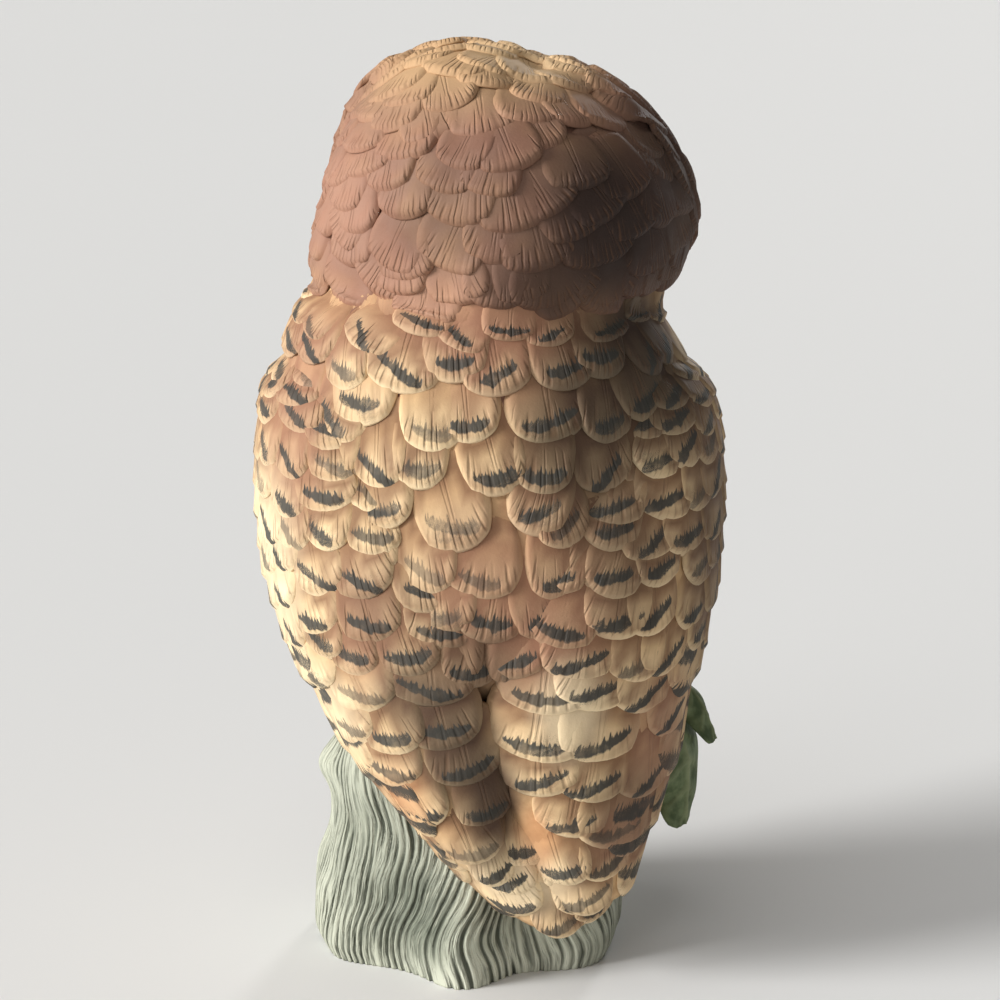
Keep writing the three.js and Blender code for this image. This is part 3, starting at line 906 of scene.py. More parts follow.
class Paint:
    """One material under construction."""

    def __init__(self, name):
        self.material = bpy.data.materials.new(name)
        self.material.use_nodes = True
        self.tree = self.material.node_tree
        self.tree.nodes.clear()
        self.shader = self.tree.nodes.new("ShaderNodeBsdfPrincipled")
        self.node("ShaderNodeOutputMaterial", {"Surface": self.shader.outputs[0]})
        self.place = self.node("ShaderNodeTexCoord")["Object"]

    def node(self, kind, inputs=None, **settings):
        """A new node in this paint's tree."""
        return add_node(self.tree, kind, inputs, **settings)

    def attribute(self, name, vector=False):
        """What the mesh holds under a name."""
        found = self.node("ShaderNodeAttribute", attribute_name=name)
        return found["Vector"] if vector else Field(self.tree, found["Fac"])

    def noise(self, scale, detail, where=None, stretch=None):
        """Cloudy noise over the piece, or over where, which stretch draws out along its axes."""
        place = where or self.place
        if stretch is not None:
            place = self.node("ShaderNodeMapping", {"Vector": place, "Scale": stretch})[0]
        shape = {"Vector": place, "Scale": scale, "Detail": detail, "Roughness": 0.55}
        return Field(self.tree, self.node("ShaderNodeTexNoise", shape)["Fac"])

    def line_noise(self, value, detail=1.0):
        """A soft wave along a value, with one swell for each whole number."""
        shape = {"W": value, "Scale": 1.0, "Detail": detail}
        return Field(self.tree, self.node("ShaderNodeTexNoise", shape, noise_dimensions="1D")["Fac"])

    def random(self, value, salt):
        """A number from 0 to 1 that stays the same for the same value and salt."""
        shape = {"W": value * 91.7 + salt}
        return Field(self.tree, self.node("ShaderNodeTexWhiteNoise", shape, noise_dimensions="1D")["Value"])

    def mix(self, amount, under, over, kind="MIX"):
        """One coat of colour over another."""
        layers = {"Factor": amount, 6: under, 7: over}
        return self.node("ShaderNodeMix", layers, data_type="RGBA", blend_type=kind)[2]

    def spray(self, base, spots):
        """Airbrushed patches, some of which also stand for painted shade and painted light: each has a
        middle, its reach along each axis, a colour and a strength.
        """
        for middle, reach, tint, strength in spots:
            patch = {"Location": [c * MM for c in middle], "Scale": [c * MM for c in reach]}
            patch["Vector"] = self.place
            centred = self.node("ShaderNodeMapping", patch, vector_type="TEXTURE")[0]
            far = self.node("ShaderNodeVectorMath", {0: centred}, operation="LENGTH")["Value"]
            base = self.mix(Field(self.tree, far).step(0.25, 1.0, strength, 0.0), base, tint)
        return base

    def bump(self, height, depth):
        """height runs from 0 to 1 over depth millimetres."""
        normal = self.node("ShaderNodeBump", {"Distance": depth * MM, "Height": height})[0]
        feed(self.tree, normal, self.shader.inputs["Normal"])

    def done(self, base, roughness, specular=0.3):
        """The finished material."""
        given = {"Base Color": base, "Roughness": roughness, "Specular IOR Level": specular}
        for name, value in given.items():
            feed(self.tree, value, self.shader.inputs[name])
        return self.material


CREAM = colour(228, 200, 156)
PALE_CREAM = colour(240, 220, 182)
BUFF = colour(205, 168, 122)
# Brown for incised lines, and for the painted shade in the gaps between feathers
GROOVE_BROWN = colour(116, 80, 54)
ROSE = colour(178, 134, 110)
ROSE_BROWN = colour(148, 104, 82)
HEAD_ROSE = colour(142, 103, 84)
HEAD_BROWN = colour(118, 82, 66)
# Near-black brown: painted shade on the owl's right side, together with dark brown airbrushing there
DARK_BROWN_AND_SHADE = colour(42, 30, 25)
# A greyer rose that the head feathers take in the gaps beside other feathers' rims
GREY_ROSE = colour(134, 104, 88)
OCHRE = colour(184, 149, 110)
UMBER = colour(92, 68, 52)
DEEP_UMBER = colour(66, 48, 38)
ORANGE = colour(206, 144, 98)
CHARCOAL = colour(74, 72, 65)
INK = (0.12, 0.14, 0.18, 1.0)
MOSS = colour(118, 132, 94)
LICHEN = colour(92, 98, 84)
CHALK = colour(224, 224, 204)

# Airbrushed patches, where the photo shows them: middle, reach, colour, strength. Some of the dark ones are
# painted shade as well, as marked below.
BACK_SPRAY = (
    ((4, 40, 192), (60, 34, 25), ROSE_BROWN, 0.7),
    ((44, 30, 180), (18, 36, 26), ROSE_BROWN, 0.45),
    ((-6, 46, 174), (30, 24, 20), ROSE_BROWN, 0.5),
    # Painted shade with dark brown airbrushing: these patches darken the owl's right side, away from the key
    # light, and the back beside it.
    ((-44, 32, 178), (38, 42, 42), DARK_BROWN_AND_SHADE, 0.92),
    ((-22, 46, 156), (24, 26, 34), DARK_BROWN_AND_SHADE, 0.75),
    ((-32, 46, 128), (20, 24, 30), UMBER, 0.6),
    ((-64, 24, 124), (24, 46, 64), DEEP_UMBER, 0.65),
    ((50, 30, 158), (15, 34, 40), ROSE_BROWN, 0.6),
    ((32, 50, 108), (14, 18, 26), ROSE_BROWN, 0.6),
    ((-4, 54, 116), (32, 22, 40), ROSE_BROWN, 0.6),
    ((-16, 52, 104), (22, 20, 22), ROSE_BROWN, 0.5),
    ((28, 50, 112), (16, 20, 20), UMBER, 0.4),
    ((58, 22, 112), (18, 36, 44), PALE_CREAM, 0.6),
    ((44, 34, 80), (18, 28, 20), PALE_CREAM, 0.5),
    # Painted shade with dark brown airbrushing in the valley between the wings, where their inner slopes turn
    # away from the light.
    ((5, 54, 98), (20, 22, 20), UMBER, 0.7),
    ((20, 50, 90), (14, 22, 16), DEEP_UMBER, 0.7),
    ((9, 50, 76), (16, 28, 24), DEEP_UMBER, 0.85),
    ((-1, 46, 60), (12, 26, 23), DEEP_UMBER, 0.9),
    ((-20, 50, 86), (13, 16, 20), PALE_CREAM, 0.6),
    ((24, 50, 58), (12, 16, 16), ORANGE, 0.4),
    ((-46, 40, 70), (16, 28, 32), ROSE_BROWN, 0.7),
    ((-35, 42, 54), (16, 28, 20), UMBER, 0.6),
    ((-34, 42, 48), (12, 26, 16), ROSE_BROWN, 0.5),
    ((-6, 44, 34), (24, 24, 18), PALE_CREAM, 0.6),
    ((-12, 48, 48), (8, 22, 16), ORANGE, 0.5),
)
STUMP_SPRAY = (
    ((34, 24, 34), (26, 34, 34), LICHEN, 0.4),
    ((22, 30, 18), (18, 26, 20), LICHEN, 0.8),
    ((-8, 36, 2), (28, 30, 12), CHALK, 0.6),
)
HEAD_SPRAY = (
    ((4, 6, 252), (54, 50, 32), OCHRE, 1.0),
    # A cream patch on top of the crown: partly its paler paint, partly painted light where the crown faces
    # up.
    ((-14, 6, 252), (26, 34, 18), CREAM, 0.5),
    ((44, 20, 214), (26, 36, 34), ROSE, 0.4),
    ((18, 44, 190), (40, 34, 12), ROSE, 0.45),
    ((8, 42, 214), (24, 22, 28), DEEP_UMBER, 0.35),
    # Painted shade with dark brown airbrushing on the right side of the head, away from the key light.
    ((-54, 16, 204), (40, 46, 52), DARK_BROWN_AND_SHADE, 0.85),
    ((-32, 40, 208), (34, 32, 44), DARK_BROWN_AND_SHADE, 0.95),
    ((-52, 2, 232), (28, 40, 30), DARK_BROWN_AND_SHADE, 0.7),
    # Painted shade with dark brown airbrushing on the lobe that hangs over the back, on its right side.
    ((-10, 42, 190), (20, 20, 20), DEEP_UMBER, 0.75),
)


def feather_paint(
    name, base, tip, spots, bars=0.0, barbs=0.8, strands=12.0, stain=0.85, gap=GROOVE_BROWN, bands=0
):
    """Bisque painted feather by feather: a soft fade, partly painted shade at the root, a painted highlight
    on the tip rim, incised barbs, a split shaft and a brushed bar. gap is the colour laid in the gaps beside
    other feathers' rims, as painted shade where it is the default brown, and bands the drop in mm from one
    long bar to the next."""
    paint = Paint(name)
    across, along, _ = split(paint.tree, paint.attribute("fan", vector=True))
    tone = paint.attribute("tone")
    x = across * (along * along * -0.5 + 1.0) ** 0.5
    y = along * (across * across * -0.5 + 1.0) ** 0.5
    ray = x / (y + 2.1)
    strand = ray * strands + tone * 31.0 + (paint.line_noise(ray * 9.0 + tone * 57.0) - 0.5) * 1.1
    number = strand.floor()
    off = (strand - number - 0.5).absolute()
    length = paint.random(number + tone * 13.0, 3.1)
    incised = off.step(0.02, 0.3, 1.0, 0.0) * along.step(length * 0.5, length * 0.5 + 0.35)
    incised = incised * across.absolute().larger(along).step(0.86, 0.98, 1.0, 0.0)
    incised = incised * paint.random(number + tone * 29.0, 6.1).step(0.1, 0.6, 0.25, 1.0)
    shaft = (x.absolute() - 0.045 - (y - 0.4).absolute() * 0.03).absolute().step(0.012, 0.035, 1.0, 0.0)
    shaft = shaft * along.step(0.3, 0.62, 1.0, 0.0) * paint.random(tone, 9.3).step(0.25, 0.4)

    mottle = paint.noise(170.0, 4.0)
    drift = paint.noise(45.0, 2.0)
    # Darker toward the root, where the feather runs under the row above: partly the feather's own paint,
    # partly painted shade.
    surface = paint.mix(along.step(-0.25, 0.75), base, tip)
    surface = paint.mix(drift.step(0.4, 0.75) * 0.3, surface, BUFF)
    surface = paint.mix(paint.random(tone, 5.7) * 0.22, surface, ROSE_BROWN)
    # Painted highlight: a paler band along each feather's tip, where its raised rim catches the light.
    surface = paint.mix(along.step(0.82, 0.97) * 0.35, surface, PALE_CREAM if bars else tip)
    # The gaps beside other feathers' rims take the gap colour: with the brown, painted shade where one
    # feather's edge lies over the next, together with the brown airbrushing there.
    surface = paint.mix(paint.attribute("stain") * stain, surface, gap)
    surface = paint.spray(surface, spots)
    surface = paint.mix(incised * 0.3 * barbs, surface, GROOVE_BROWN)
    surface = paint.mix(shaft * 0.1, surface, GROOVE_BROWN)
    if bars:
        if bands:
            cell = split(paint.tree, paint.place)[2] / (bands * MM)
            along = (cell.floor() - cell + 0.5) * (bands / PRIMARY_HALF_LENGTH) + BAR_PLACE
        shift = (paint.random(tone, 1.3) - 0.5) * 0.16
        tilt = (paint.random(tone, 2.9) - 0.5) * 0.5
        if not bands:
            tilt = tilt + split(paint.tree, paint.place)[0].step(-0.055, 0.055, 0.42, -0.42)
        middle = across * tilt + shift + BAR_PLACE
        span = 0.9 if bands else 0.52
        spread = (across.absolute() / (paint.random(tone, 4.4) * 0.22 + span)) ** 2.5 * -1.0 + 1.0
        core = spread.larger(0.0) ** 0.5 * (paint.line_noise(across * 3.0 + tone * 23.0) * 0.15 + 0.03)
        hair = paint.line_noise(ray * 36.0 + tone * 71.0, 2.0)
        reach = core + hair.step(0.36, 0.74) * 0.13 * spread.step(0.0, 0.35)
        below = (along - middle - core - (hair - 0.5) * 0.07).step(-0.02, 0.025, 1.0, 0.0)
        above = (along - middle + reach).step(-0.025, 0.02)
        brushed = below * above * spread.step(0.02, 0.1) * paint.random(tone, 8.8).step(0.0, 0.25, 0.6, 1.0)
        brushed = brushed * mottle.step(0.25, 0.5, 0.75, 1.0) * bars
        ink = paint.mix(0.5, CHARCOAL, paint.mix(1.0, surface, INK, "MULTIPLY"))
        surface = paint.mix(brushed, surface, ink)
    surface = paint.mix(mottle.step(0.5, 0.8) * 0.12, surface, UMBER)
    grain = paint.noise(1400.0, 2.0)
    relief = (incised * barbs * -0.55 - shaft * 0.25) + grain * 0.12 + mottle * 0.3 + 1.0
    paint.bump(relief, 0.5)
    return paint.done(surface, mottle.step(0.3, 0.7, 0.68, 0.8))


def down_paint(name, base, spots):
    """Plain bisque under and between the feathers."""
    paint = Paint(name)
    mottle = paint.noise(160.0, 4.0)
    surface = paint.mix(mottle.step(0.35, 0.7) * 0.5, base, GROOVE_BROWN)
    surface = paint.spray(surface, spots)
    paint.bump(mottle * 0.4 + paint.noise(1200.0, 2.0) * 0.2, 0.4)
    return paint.done(surface, mottle.step(0.3, 0.7, 0.7, 0.82))


# The finish of each kind of feather: colours at the root and the tip, airbrushed patches (some of them
# painted shade), brushwork and how strongly the gaps take painted shade
FEATHER_FINISHES = {
    "mantle_bisque": (BUFF, CREAM, BACK_SPRAY, {"bars": 1.0, "barbs": 1.0, "strands": 15.0}),
    "breast_bisque": (BUFF, PALE_CREAM, BACK_SPRAY[:3], {"bars": 0.8, "stain": 0.6}),
    "quill_bisque": (BUFF, CREAM, BACK_SPRAY, {"bars": 1.0, "barbs": 0.7, "strands": 16.0}),
    "primary_bisque": (
        OCHRE, CREAM, BACK_SPRAY, {"bars": 1.0, "barbs": 0.4, "strands": 16.0, "bands": 9.8}
    ),
    "head_bisque": (
        HEAD_BROWN, HEAD_ROSE, HEAD_SPRAY, {"barbs": 1.0, "strands": 18.0, "stain": 0.5, "gap": GREY_ROSE}
    ),
    "disc_bisque": (ROSE, PALE_CREAM, (), {"barbs": 1.0, "strands": 14.0, "stain": 0.8}),
    "brow_bisque": (OCHRE, PALE_CREAM, (), {"barbs": 1.0, "strands": 12.0, "stain": 0.7}),
}
DOWN_FINISHES = {"down_bisque": (BUFF, BACK_SPRAY), "head_down": (HEAD_BROWN, HEAD_SPRAY)}


def finish_of(name):
    """The paint of that name, made when it is first asked for."""
    ready = bpy.data.materials.get(name)
    if ready is not None:
        return ready
    if name in DOWN_FINISHES:
        return down_paint(name, *DOWN_FINISHES[name])
    base, tip, spots, brushwork_and_shade = FEATHER_FINISHES[name]
    return feather_paint(name, base, tip, spots, **brushwork_and_shade)


# Settings


def millimetres(name, description, default):
    return bpy.props.FloatProperty(
        name=name, description=f"{description} in mm", default=default, min=1, max=40
    )


def pigment(name, description, default):
    return bpy.props.FloatVectorProperty(
        name=name, description=description, subtype="COLOR", size=4, default=default, min=0, max=1
    )


class OwlSizes(bpy.types.PropertyGroup):
    """Sizes of the carving, in millimetres."""

    mantle_spacing: millimetres("Mantle spacing", "Width of one back feather", 14.0)
    mantle_row: millimetres("Mantle rows", "Drop from one row of back feathers to the next", 12.6)
    covert_spacing: millimetres("Covert spacing", "Width of one small wing feather", 14.5)
    quill_spacing: millimetres("Quill spacing", "Width of one long wing feather", 18.0)
    head_spacing: millimetres("Head spacing", "Width of one head feather", 15.0)
    grain_pitch: millimetres("Wood grain pitch", "Distance between two grooves of the stump", 2.2)
    smoothness: bpy.props.IntProperty(
        name="Smoothness", description="Subdivision of each feather", default=1, min=0, max=2
    )


class OwlColours(bpy.types.PropertyGroup):
    """Colours of the paint that a user would change."""

    stump: pigment("Stump", "Pale grey-green of the wood", colour(180, 182, 164))
    stump_groove: pigment("Stump grooves", "Darker grey-green in the grain", colour(72, 76, 64))
    leaf: pigment("Leaves", "Olive green of the leaves", MOSS)
    iris: pigment("Iris", "Amber of the eyes", colour(196, 122, 36))
    beak: pigment("Beak", "Horn yellow of the beak", colour(190, 158, 98))
    floor: pigment("Floor", "Pale floor under the figurine", (0.74, 0.735, 0.72, 1))


# Operators


class PieceOperator:
    """Makes a piece or group of pieces from the scene's sizes and colours."""

    bl_options = {"REGISTER", "UNDO"}

    def execute(self, context):
        self.make(context.scene.owl_sizes, context.scene.owl_colours)
        return {"FINISHED"}


class OWL_OT_torso(PieceOperator, bpy.types.Operator):
    """Back and breast feathers on the body"""

    bl_idname = "owl.torso"
    bl_label = "Body feathers"

    def make(self, sizes, colours):
        around = 96
        heights = [52 + 136 * i / 46 for i in range(47)]
        rings = [[torso_point(h, 360 * j / around - 180, -1) for j in range(around)] for h in heights]
        core = solid_from_rings("torso_core", rings)
        rows = [[torso_point(h, 360 * j / around - 180) for j in range(around + 1)] for h in heights]
        surface = open_sheet("torso_surface", rows)
        wings = [wing.core("covering") for wing in (left_wing(), right_wing())]
        covers = [search_tree(wing) for wing in wings]
        collar = neck_sheet()
        back = Guides(surface, 11)
        front = Guides(surface, 12)
        shoulders = Guides(collar, 13)
        height = 178.5
        row = 0
        while height > 58:
            perimeter = sum(
                (torso_point(height, 10 * k) - torso_point(height, 10 * k + 10)).length for k in range(36)
            )
            count = round(perimeter / sizes.mantle_spacing)
            for j in range(count):
                angle = 360 * (j + 0.5 * (row % 2) + back.wobble(0.26)) / count - 180
                guides = back if abs(angle) < 100 else front
                drop = height + back.wobble(2.6)
                if guides is back and drop < VALLEY_TOP:
                    continue
                lie = torso_point
                if height > SHOULDER_START and abs(angle) < 112:
                    guides = shoulders
                    lie = neck_place
                half_width = perimeter / count / 2 * 1.46 * (1 + back.wobble(0.18))
                half_length = (13.5 if row else 9.5) * (1 + back.wobble(0.1))
                tip = lie(drop, angle)
                guides.add(tip, lie(drop + 5, angle), half_width, half_length, back.wobble(0.3))
            height -= sizes.mantle_row * (1 if row else 0.85)
            row += 1

        def in_sight(at, outward):
            start = at + outward * 0.0022
            return all(cover.ray_cast(start, outward, 0.02)[0] is None for cover in covers)

        for guides in (back, front, shoulders):
            guides.keep(in_sight)
        for guides, name, seed in ((back, "mantle_feathers", 3), (shoulders, "shoulder_feathers", 5)):
            finish_piece(guides.lay(name, finish_of("mantle_bisque"), sizes, seed=seed))
        paint = finish_of("breast_bisque")
        finish_piece(front.lay("breast_feathers", paint, sizes, seed=4, dome=0.6, tip_lift=0.7))
        finish_piece(core, finish_of("down_bisque"))
        for helper in (surface, collar, *wings):
            bpy.data.objects.remove(helper)


class OWL_OT_wings(PieceOperator, bpy.types.Operator):
    """Folded wings: rows of small coverts, long inner quills and the barred primaries outside them"""

    bl_idname = "owl.wings"
    bl_label = "Wings"

    def make(self, sizes, colours):
        for side, wing, seed in (("left", left_wing(), 21), ("right", right_wing(), 22)):
            surface = wing.surface(f"{side}_surface")
            coverts = Guides(surface, seed)
            for row in range(9):
                s = 0.05 + 0.066 * row
                phase = 0.5 * (row % 2)
                wing.lay_row(coverts, s, sizes.covert_spacing, 13.0, phase, cover=1.5, twist=0.24)
            quills = Guides(surface, seed + 10)
            for row in range(6):
                s = 0.62 + 0.076 * row
                wing.lay_row(
                    quills, s, sizes.quill_spacing, 12.5, 0.5,
                    cover=1.6, twist=0.16, plumb=0.5, start=0.36, end=1.02,
                )
            outer = Guides(surface, seed + 20)
            spacing = sizes.quill_spacing * 0.75
            for row in range(4):
                s = 0.64 + 0.12 * row
                wing.lay_row(
                    outer, s, spacing, PRIMARY_HALF_LENGTH, 0.5 * (row % 2),
                    cover=1.7, twist=0.05, plumb=0.1, start=-0.1, end=0.42,
                )
            for guides, name, paint, form in (
                (coverts, "coverts", "mantle_bisque", {"seed": seed}),
                (outer, "primaries", "primary_bisque", {"seed": seed + 7, "dome": 0.3, "rim": 0.2}),
                (quills, "quills", "quill_bisque", {"seed": seed + 5, "dome": 0.3, "rim": 0.25}),
            ):
                finish_piece(guides.lay(f"{side}_wing_{name}", finish_of(paint), sizes, **form))
            finish_piece(wing.core(f"{side}_wing_core"), finish_of("down_bisque"))
            bpy.data.objects.remove(surface)


class OWL_OT_tail(PieceOperator, bpy.types.Operator):
    """Tail feathers between the wing tips"""

    bl_idname = "owl.tail"
    bl_label = "Tail"

    def make(self, sizes, colours):
        tail = tail_tract()
        surface = tail.surface("tail_surface")
        guides = Guides(surface, 31)
        for row, s in enumerate((0.64, 0.78, 0.91, 1.03)):
            tail.lay_row(guides, s, 15.0, 13.0, 0.5 * (row % 2), cover=1.44, twist=0.08, plumb=0.3)
        finish_piece(guides.lay("tail_feathers", finish_of("quill_bisque"), sizes, seed=33))
        finish_piece(tail.core("tail_core"), finish_of("down_bisque"))
        bpy.data.objects.remove(surface)


class OWL_OT_head(PieceOperator, bpy.types.Operator):
    """Fan-shaped feathers that circle back from the face"""

    bl_idname = "owl.head"
    bl_label = "Head feathers"

    def make(self, sizes, colours):
        around = 72
        swings = [11 + 89 * i / 38 for i in range(39)]
        rings = [[head_place(swing, j / around, -1.1) for j in range(around)] for swing in swings]
        rim = rings[0]
        middle = sum(rim, Vector()) / around
        backward = turned_with_head(0, -1, 0)
        for k in range(1, 20):
            ring = []
            for p in rim:
                spot = p.lerp(middle, k / 20)
                side, _, up = on_head(spot)
                ring.append(spot + backward * (12 * (1 - smooth(from_disc(side, up + 3), 0.8, 1.02))))
            rings.insert(0, ring)
        core = solid_from_rings("head_core", rings)
        forehead_rings = rings[:20]
        surface = open_sheet(
            "head_surface", [[head_place(swing, j / around) for j in range(around + 1)] for swing in swings]
        )
        rings = []
        for height in range(160, 204, 2):
            ring = []
            for turn in circle(around):
                facing = -math.cos(turn + HEAD_TURN)
                behind_discs = 26 * smooth(facing, 0.1, 0.75)
                ring.append(neck_place(height, math.degrees(turn), -1.2 - behind_discs))
            rings.append(ring)
        neck = solid_from_rings("neck_core", rings)
        collar = neck_sheet()
        crown = Guides(surface, 41)
        nape = Guides(collar, 43)
        swing = 13.0
        row = 0
        while swing < 100:
            guides = crown if swing < NAPE_START else nape
            small = smooth(swing, 34, 12)
            ring = [head_place(swing, k / 24) for k in range(24)]
            perimeter = sum((p - q).length for p, q in zip(ring, ring[1:] + ring[:1]))
            count = round(perimeter / (sizes.head_spacing * (1 - 0.4 * small)))
            for j in range(count):
                across = (j + 0.5 * (row % 2) + crown.wobble(0.24)) / count
                place = swing + crown.wobble(1.6) * (1 - small * 0.6)
                slant = -0.55 * math.sin(2 * math.pi * across) * smooth(swing, 24, 50)
                tip = head_place(place, across)
                if guides is nape and tip.z < NAPE_END:
                    continue
                half_width = perimeter / count / 2 * 1.4 * (1 + crown.wobble(0.18))
                half_length = (10.0 - 2.5 * small) * (1 + crown.wobble(0.18))
                root = head_place(place - 4, across)
                guides.add(tip, root, half_width, half_length, slant + crown.wobble(0.4))
            swing += 4.6 - 0.6 * small
            row += 1
        girth = 2 * math.pi * 44
        count = round(girth / sizes.head_spacing)
        for j in range(count):
            angle = 360 * (j + nape.wobble(0.24)) / count - 180
            tip = 185.5 + nape.wobble(3.5)
            behind = neck_place(tip + 4, angle)
            nape.add(neck_place(tip, angle), behind, girth / count / 2 * 1.5, 10.0, nape.wobble(0.3))

        def behind_face(at, outward):
            _, forward, up = on_head(at / MM - CAST_SHIFT)
            return forward < 24 or up < -37

        nape.keep(behind_face)
        front = open_sheet("forehead_surface", [ring + ring[:1] for ring in forehead_rings])
        forehead = Guides(front, 45)
        for row in range(12):
            up = -4 + 4.2 * row
            forward = CHIN_FORWARD - math.tan(math.radians(swings[0])) * (up + CHIN_DOWN)
            for k in range(-7, 8):
                side = 5.2 * (k + 0.5 * (row % 2)) + forehead.wobble(0.8)
                if from_disc(side, up + 1) < 1 or head_form(side, forward, up) > 0.98:
                    continue
                tip = head_point(side, forward, up)
                forehead.add(tip, head_point(side, forward, up - 4), 3.6, 5.4, forehead.wobble(0.2))
        for guides, name, seed, lift in (
            (crown, "head_feathers", 42, 0.55), (nape, "nape_feathers", 44, 0.95)
        ):
            finish_piece(guides.lay(name, finish_of("head_bisque"), sizes, seed=seed, tip_lift=lift))
        finish_piece(forehead.lay("forehead_feathers", finish_of("head_bisque"), None, seed=46, **SMALL))
        finish_piece(core, finish_of("head_down"))
        finish_piece(neck, finish_of("head_down"))
        for helper in (surface, collar, front):
            bpy.data.objects.remove(helper)


class OWL_OT_face(PieceOperator, bpy.types.Operator):
    """Facial discs, eyes, brows and beak"""

    bl_idname = "owl.face"
    bl_label = "Face"

    def make(self, sizes, colours):
        discs = []
        feathers = []
        for side in (1, -1):

            def ring(reach, out=None):
                depth = DISC_DISH(reach) if out is None else out
                return [disc_point(side, reach, depth, angle) for angle in circle(64)]

            rings = [
                ring(reach)
                for reach in (0.3, 0.36, 0.44, 0.52, 0.6, 0.68, 0.76, 0.84, 0.9, 0.95, 1.0, 1.04, 1.06)
            ]
            skin = rings + [ring(1.1), ring(1.14)]
            discs.append(solid_from_rings(f"disc_{side}", rings + [ring(1.04, -16)]))
            sheet = open_sheet(f"disc_sheet_{side}", [line + line[:1] for line in skin])
            guides = Guides(sheet, 50 + side)
            for row, reach in enumerate((0.5, 0.6, 0.7, 0.8, 0.9, 0.99, 1.07)):
                spacing, half_width, half_length = (7.5, 4.8, 6.5) if reach > 1 else (5.2, 3.3, 5.6)
                count = round(2 * math.pi * 25 * reach / spacing)
                inner = reach - 0.1
                for j in range(count):
                    angle = 2 * math.pi * (j + 0.5 * (row % 2) + guides.wobble(0.1)) / count
                    tip = disc_point(side, reach, DISC_DISH(reach), angle)
                    root = disc_point(side, inner, DISC_DISH(inner), angle)
                    guides.add(tip, root, half_width, half_length, guides.wobble(0.1))
            paint = finish_of("disc_bisque")
            feathers.append(guides.lay(f"disc_feathers_{side}", paint, None, seed=51, tip_lift=0.6, **SMALL))
            bpy.data.objects.remove(sheet)
        finish_piece(join("face_discs", discs), finish_of("head_down"))
        finish_piece(join("face_disc_feathers", feathers), finish_of("disc_bisque"))
        self.eyes(colours)
        self.brows()
        self.beak(colours)

    def eyes(self, colours):
        balls = []
        lids = []
        around = 40
        for side in (1, -1):
            centre = Vector((side * 18.5, 31.5, -1))
            gaze = Vector((side * 0.2, 1, -0.05)).normalized()
            sideways = gaze.cross(Vector((0, 0, 1))).normalized()
            upward = sideways.cross(gaze)
            rings = []
            for i in range(1, 25):
                tilt = math.pi * i / 25
                ring = []
                for a in circle(around):
                    spot = gaze * math.cos(tilt)
                    spot += (sideways * math.cos(a) + upward * math.sin(a)) * math.sin(tilt)
                    ring.append(head_point(*(centre + spot * EYE_RADIUS)))
                rings.append(ring)
            marks = [[i / 25] * around for i in range(1, 25)]
            balls.append(solid_from_rings(f"eye_{side}", rings, {"gaze": marks}))
            lid = []
            for a in circle(around):
                out = sideways * math.cos(a) + upward * math.sin(a)
                middle = centre + gaze * 4.4 + out * 8.3
                for b in circle(10):
                    spot = middle + out * (1.1 * math.cos(b)) + gaze * (1.4 * math.sin(b))
                    lid.append(head_point(*spot))
            lids.append(face_outward(new_piece(f"lid_{side}", lid, ring_faces(around, 10, looped=True))))
        glaze = Paint("eye_glaze")
        gaze = glaze.attribute("gaze")
        rays = glaze.noise(900.0, 2.0)
        tint = glaze.mix(gaze.step(0.14, 0.26), colour(120, 62, 14), tuple(colours.iris))
        tint = glaze.mix(rays.step(0.4, 0.7) * 0.35, tint, colour(90, 46, 12))
        tint = glaze.mix(gaze.step(0.27, 0.31), tint, colour(24, 14, 8))
        tint = glaze.mix(gaze.step(0.13, 0.15, 1.0, 0.0), tint, colour(5, 4, 4))
        glaze.shader.inputs["Coat Weight"].default_value = 0.35
        glaze.shader.inputs["Coat Roughness"].default_value = 0.04
        finish_piece(join("eyes", balls), glaze.done(tint, rays.step(0.3, 0.7, 0.14, 0.2), 0.25))
        dark = Paint("lid_bisque")
        mottle = dark.noise(300.0, 3.0)
        dark.bump(mottle, 0.3)
        tint = dark.mix(mottle, DEEP_UMBER, colour(40, 30, 24))
        finish_piece(join("eyelids", lids), dark.done(tint, mottle.step(0.3, 0.7, 0.55, 0.7)))

    def brows(self):
        ridges = []
        feathers = []
        radius = profile([(0, 2.4), (0.4, 4), (0.75, 4.6), (1, 2)])
        forward = turned_with_head(0, 1, 0.25)
        for side in (1, -1):
            path = [(3, 40, 4), (8, 40.5, 14), (16, 38, 21.5), (26, 31.5, 25), (33.5, 21, 22)]
            line = curve_through([head_point(side * a, b, c) for a, b, c in path], 36)
            ridge = tapered_bar(f"brow_{side}", line, radius, 20, 36)
            normals = [0.0] * (len(ridge.data.vertices) * 3)
            ridge.data.vertices.foreach_get("normal", normals)
            keep_outward(ridge, normals)
            guides = Guides(ridge, 60 + side)
            for i in range(3, 37):
                along = (line[i] - line[i - 3]).normalized()
                upward = forward.cross(along).normalized()
                for turn in (-60, -20, 20, 60):
                    lean = math.radians(turn + 20 * (i % 2) + guides.wobble(8))
                    out = forward.normalized() * math.cos(lean) + upward * math.sin(lean)
                    tip = line[i] + out * radius(i / 36)
                    root = line[i - 3] + out * radius((i - 3) / 36)
                    guides.add(tip, root, 2.2, 4.2, guides.wobble(0.12))
            guides.rows = guides.rows[::3]
            paint = finish_of("brow_bisque")
            feathers.append(guides.lay(f"brow_feathers_{side}", paint, None, seed=61, tip_lift=0.6, **SMALL))
            ridges.append(ridge)
        finish_piece(join("brows", ridges), finish_of("head_down"))
        finish_piece(join("brow_feathers", feathers), finish_of("brow_bisque"))

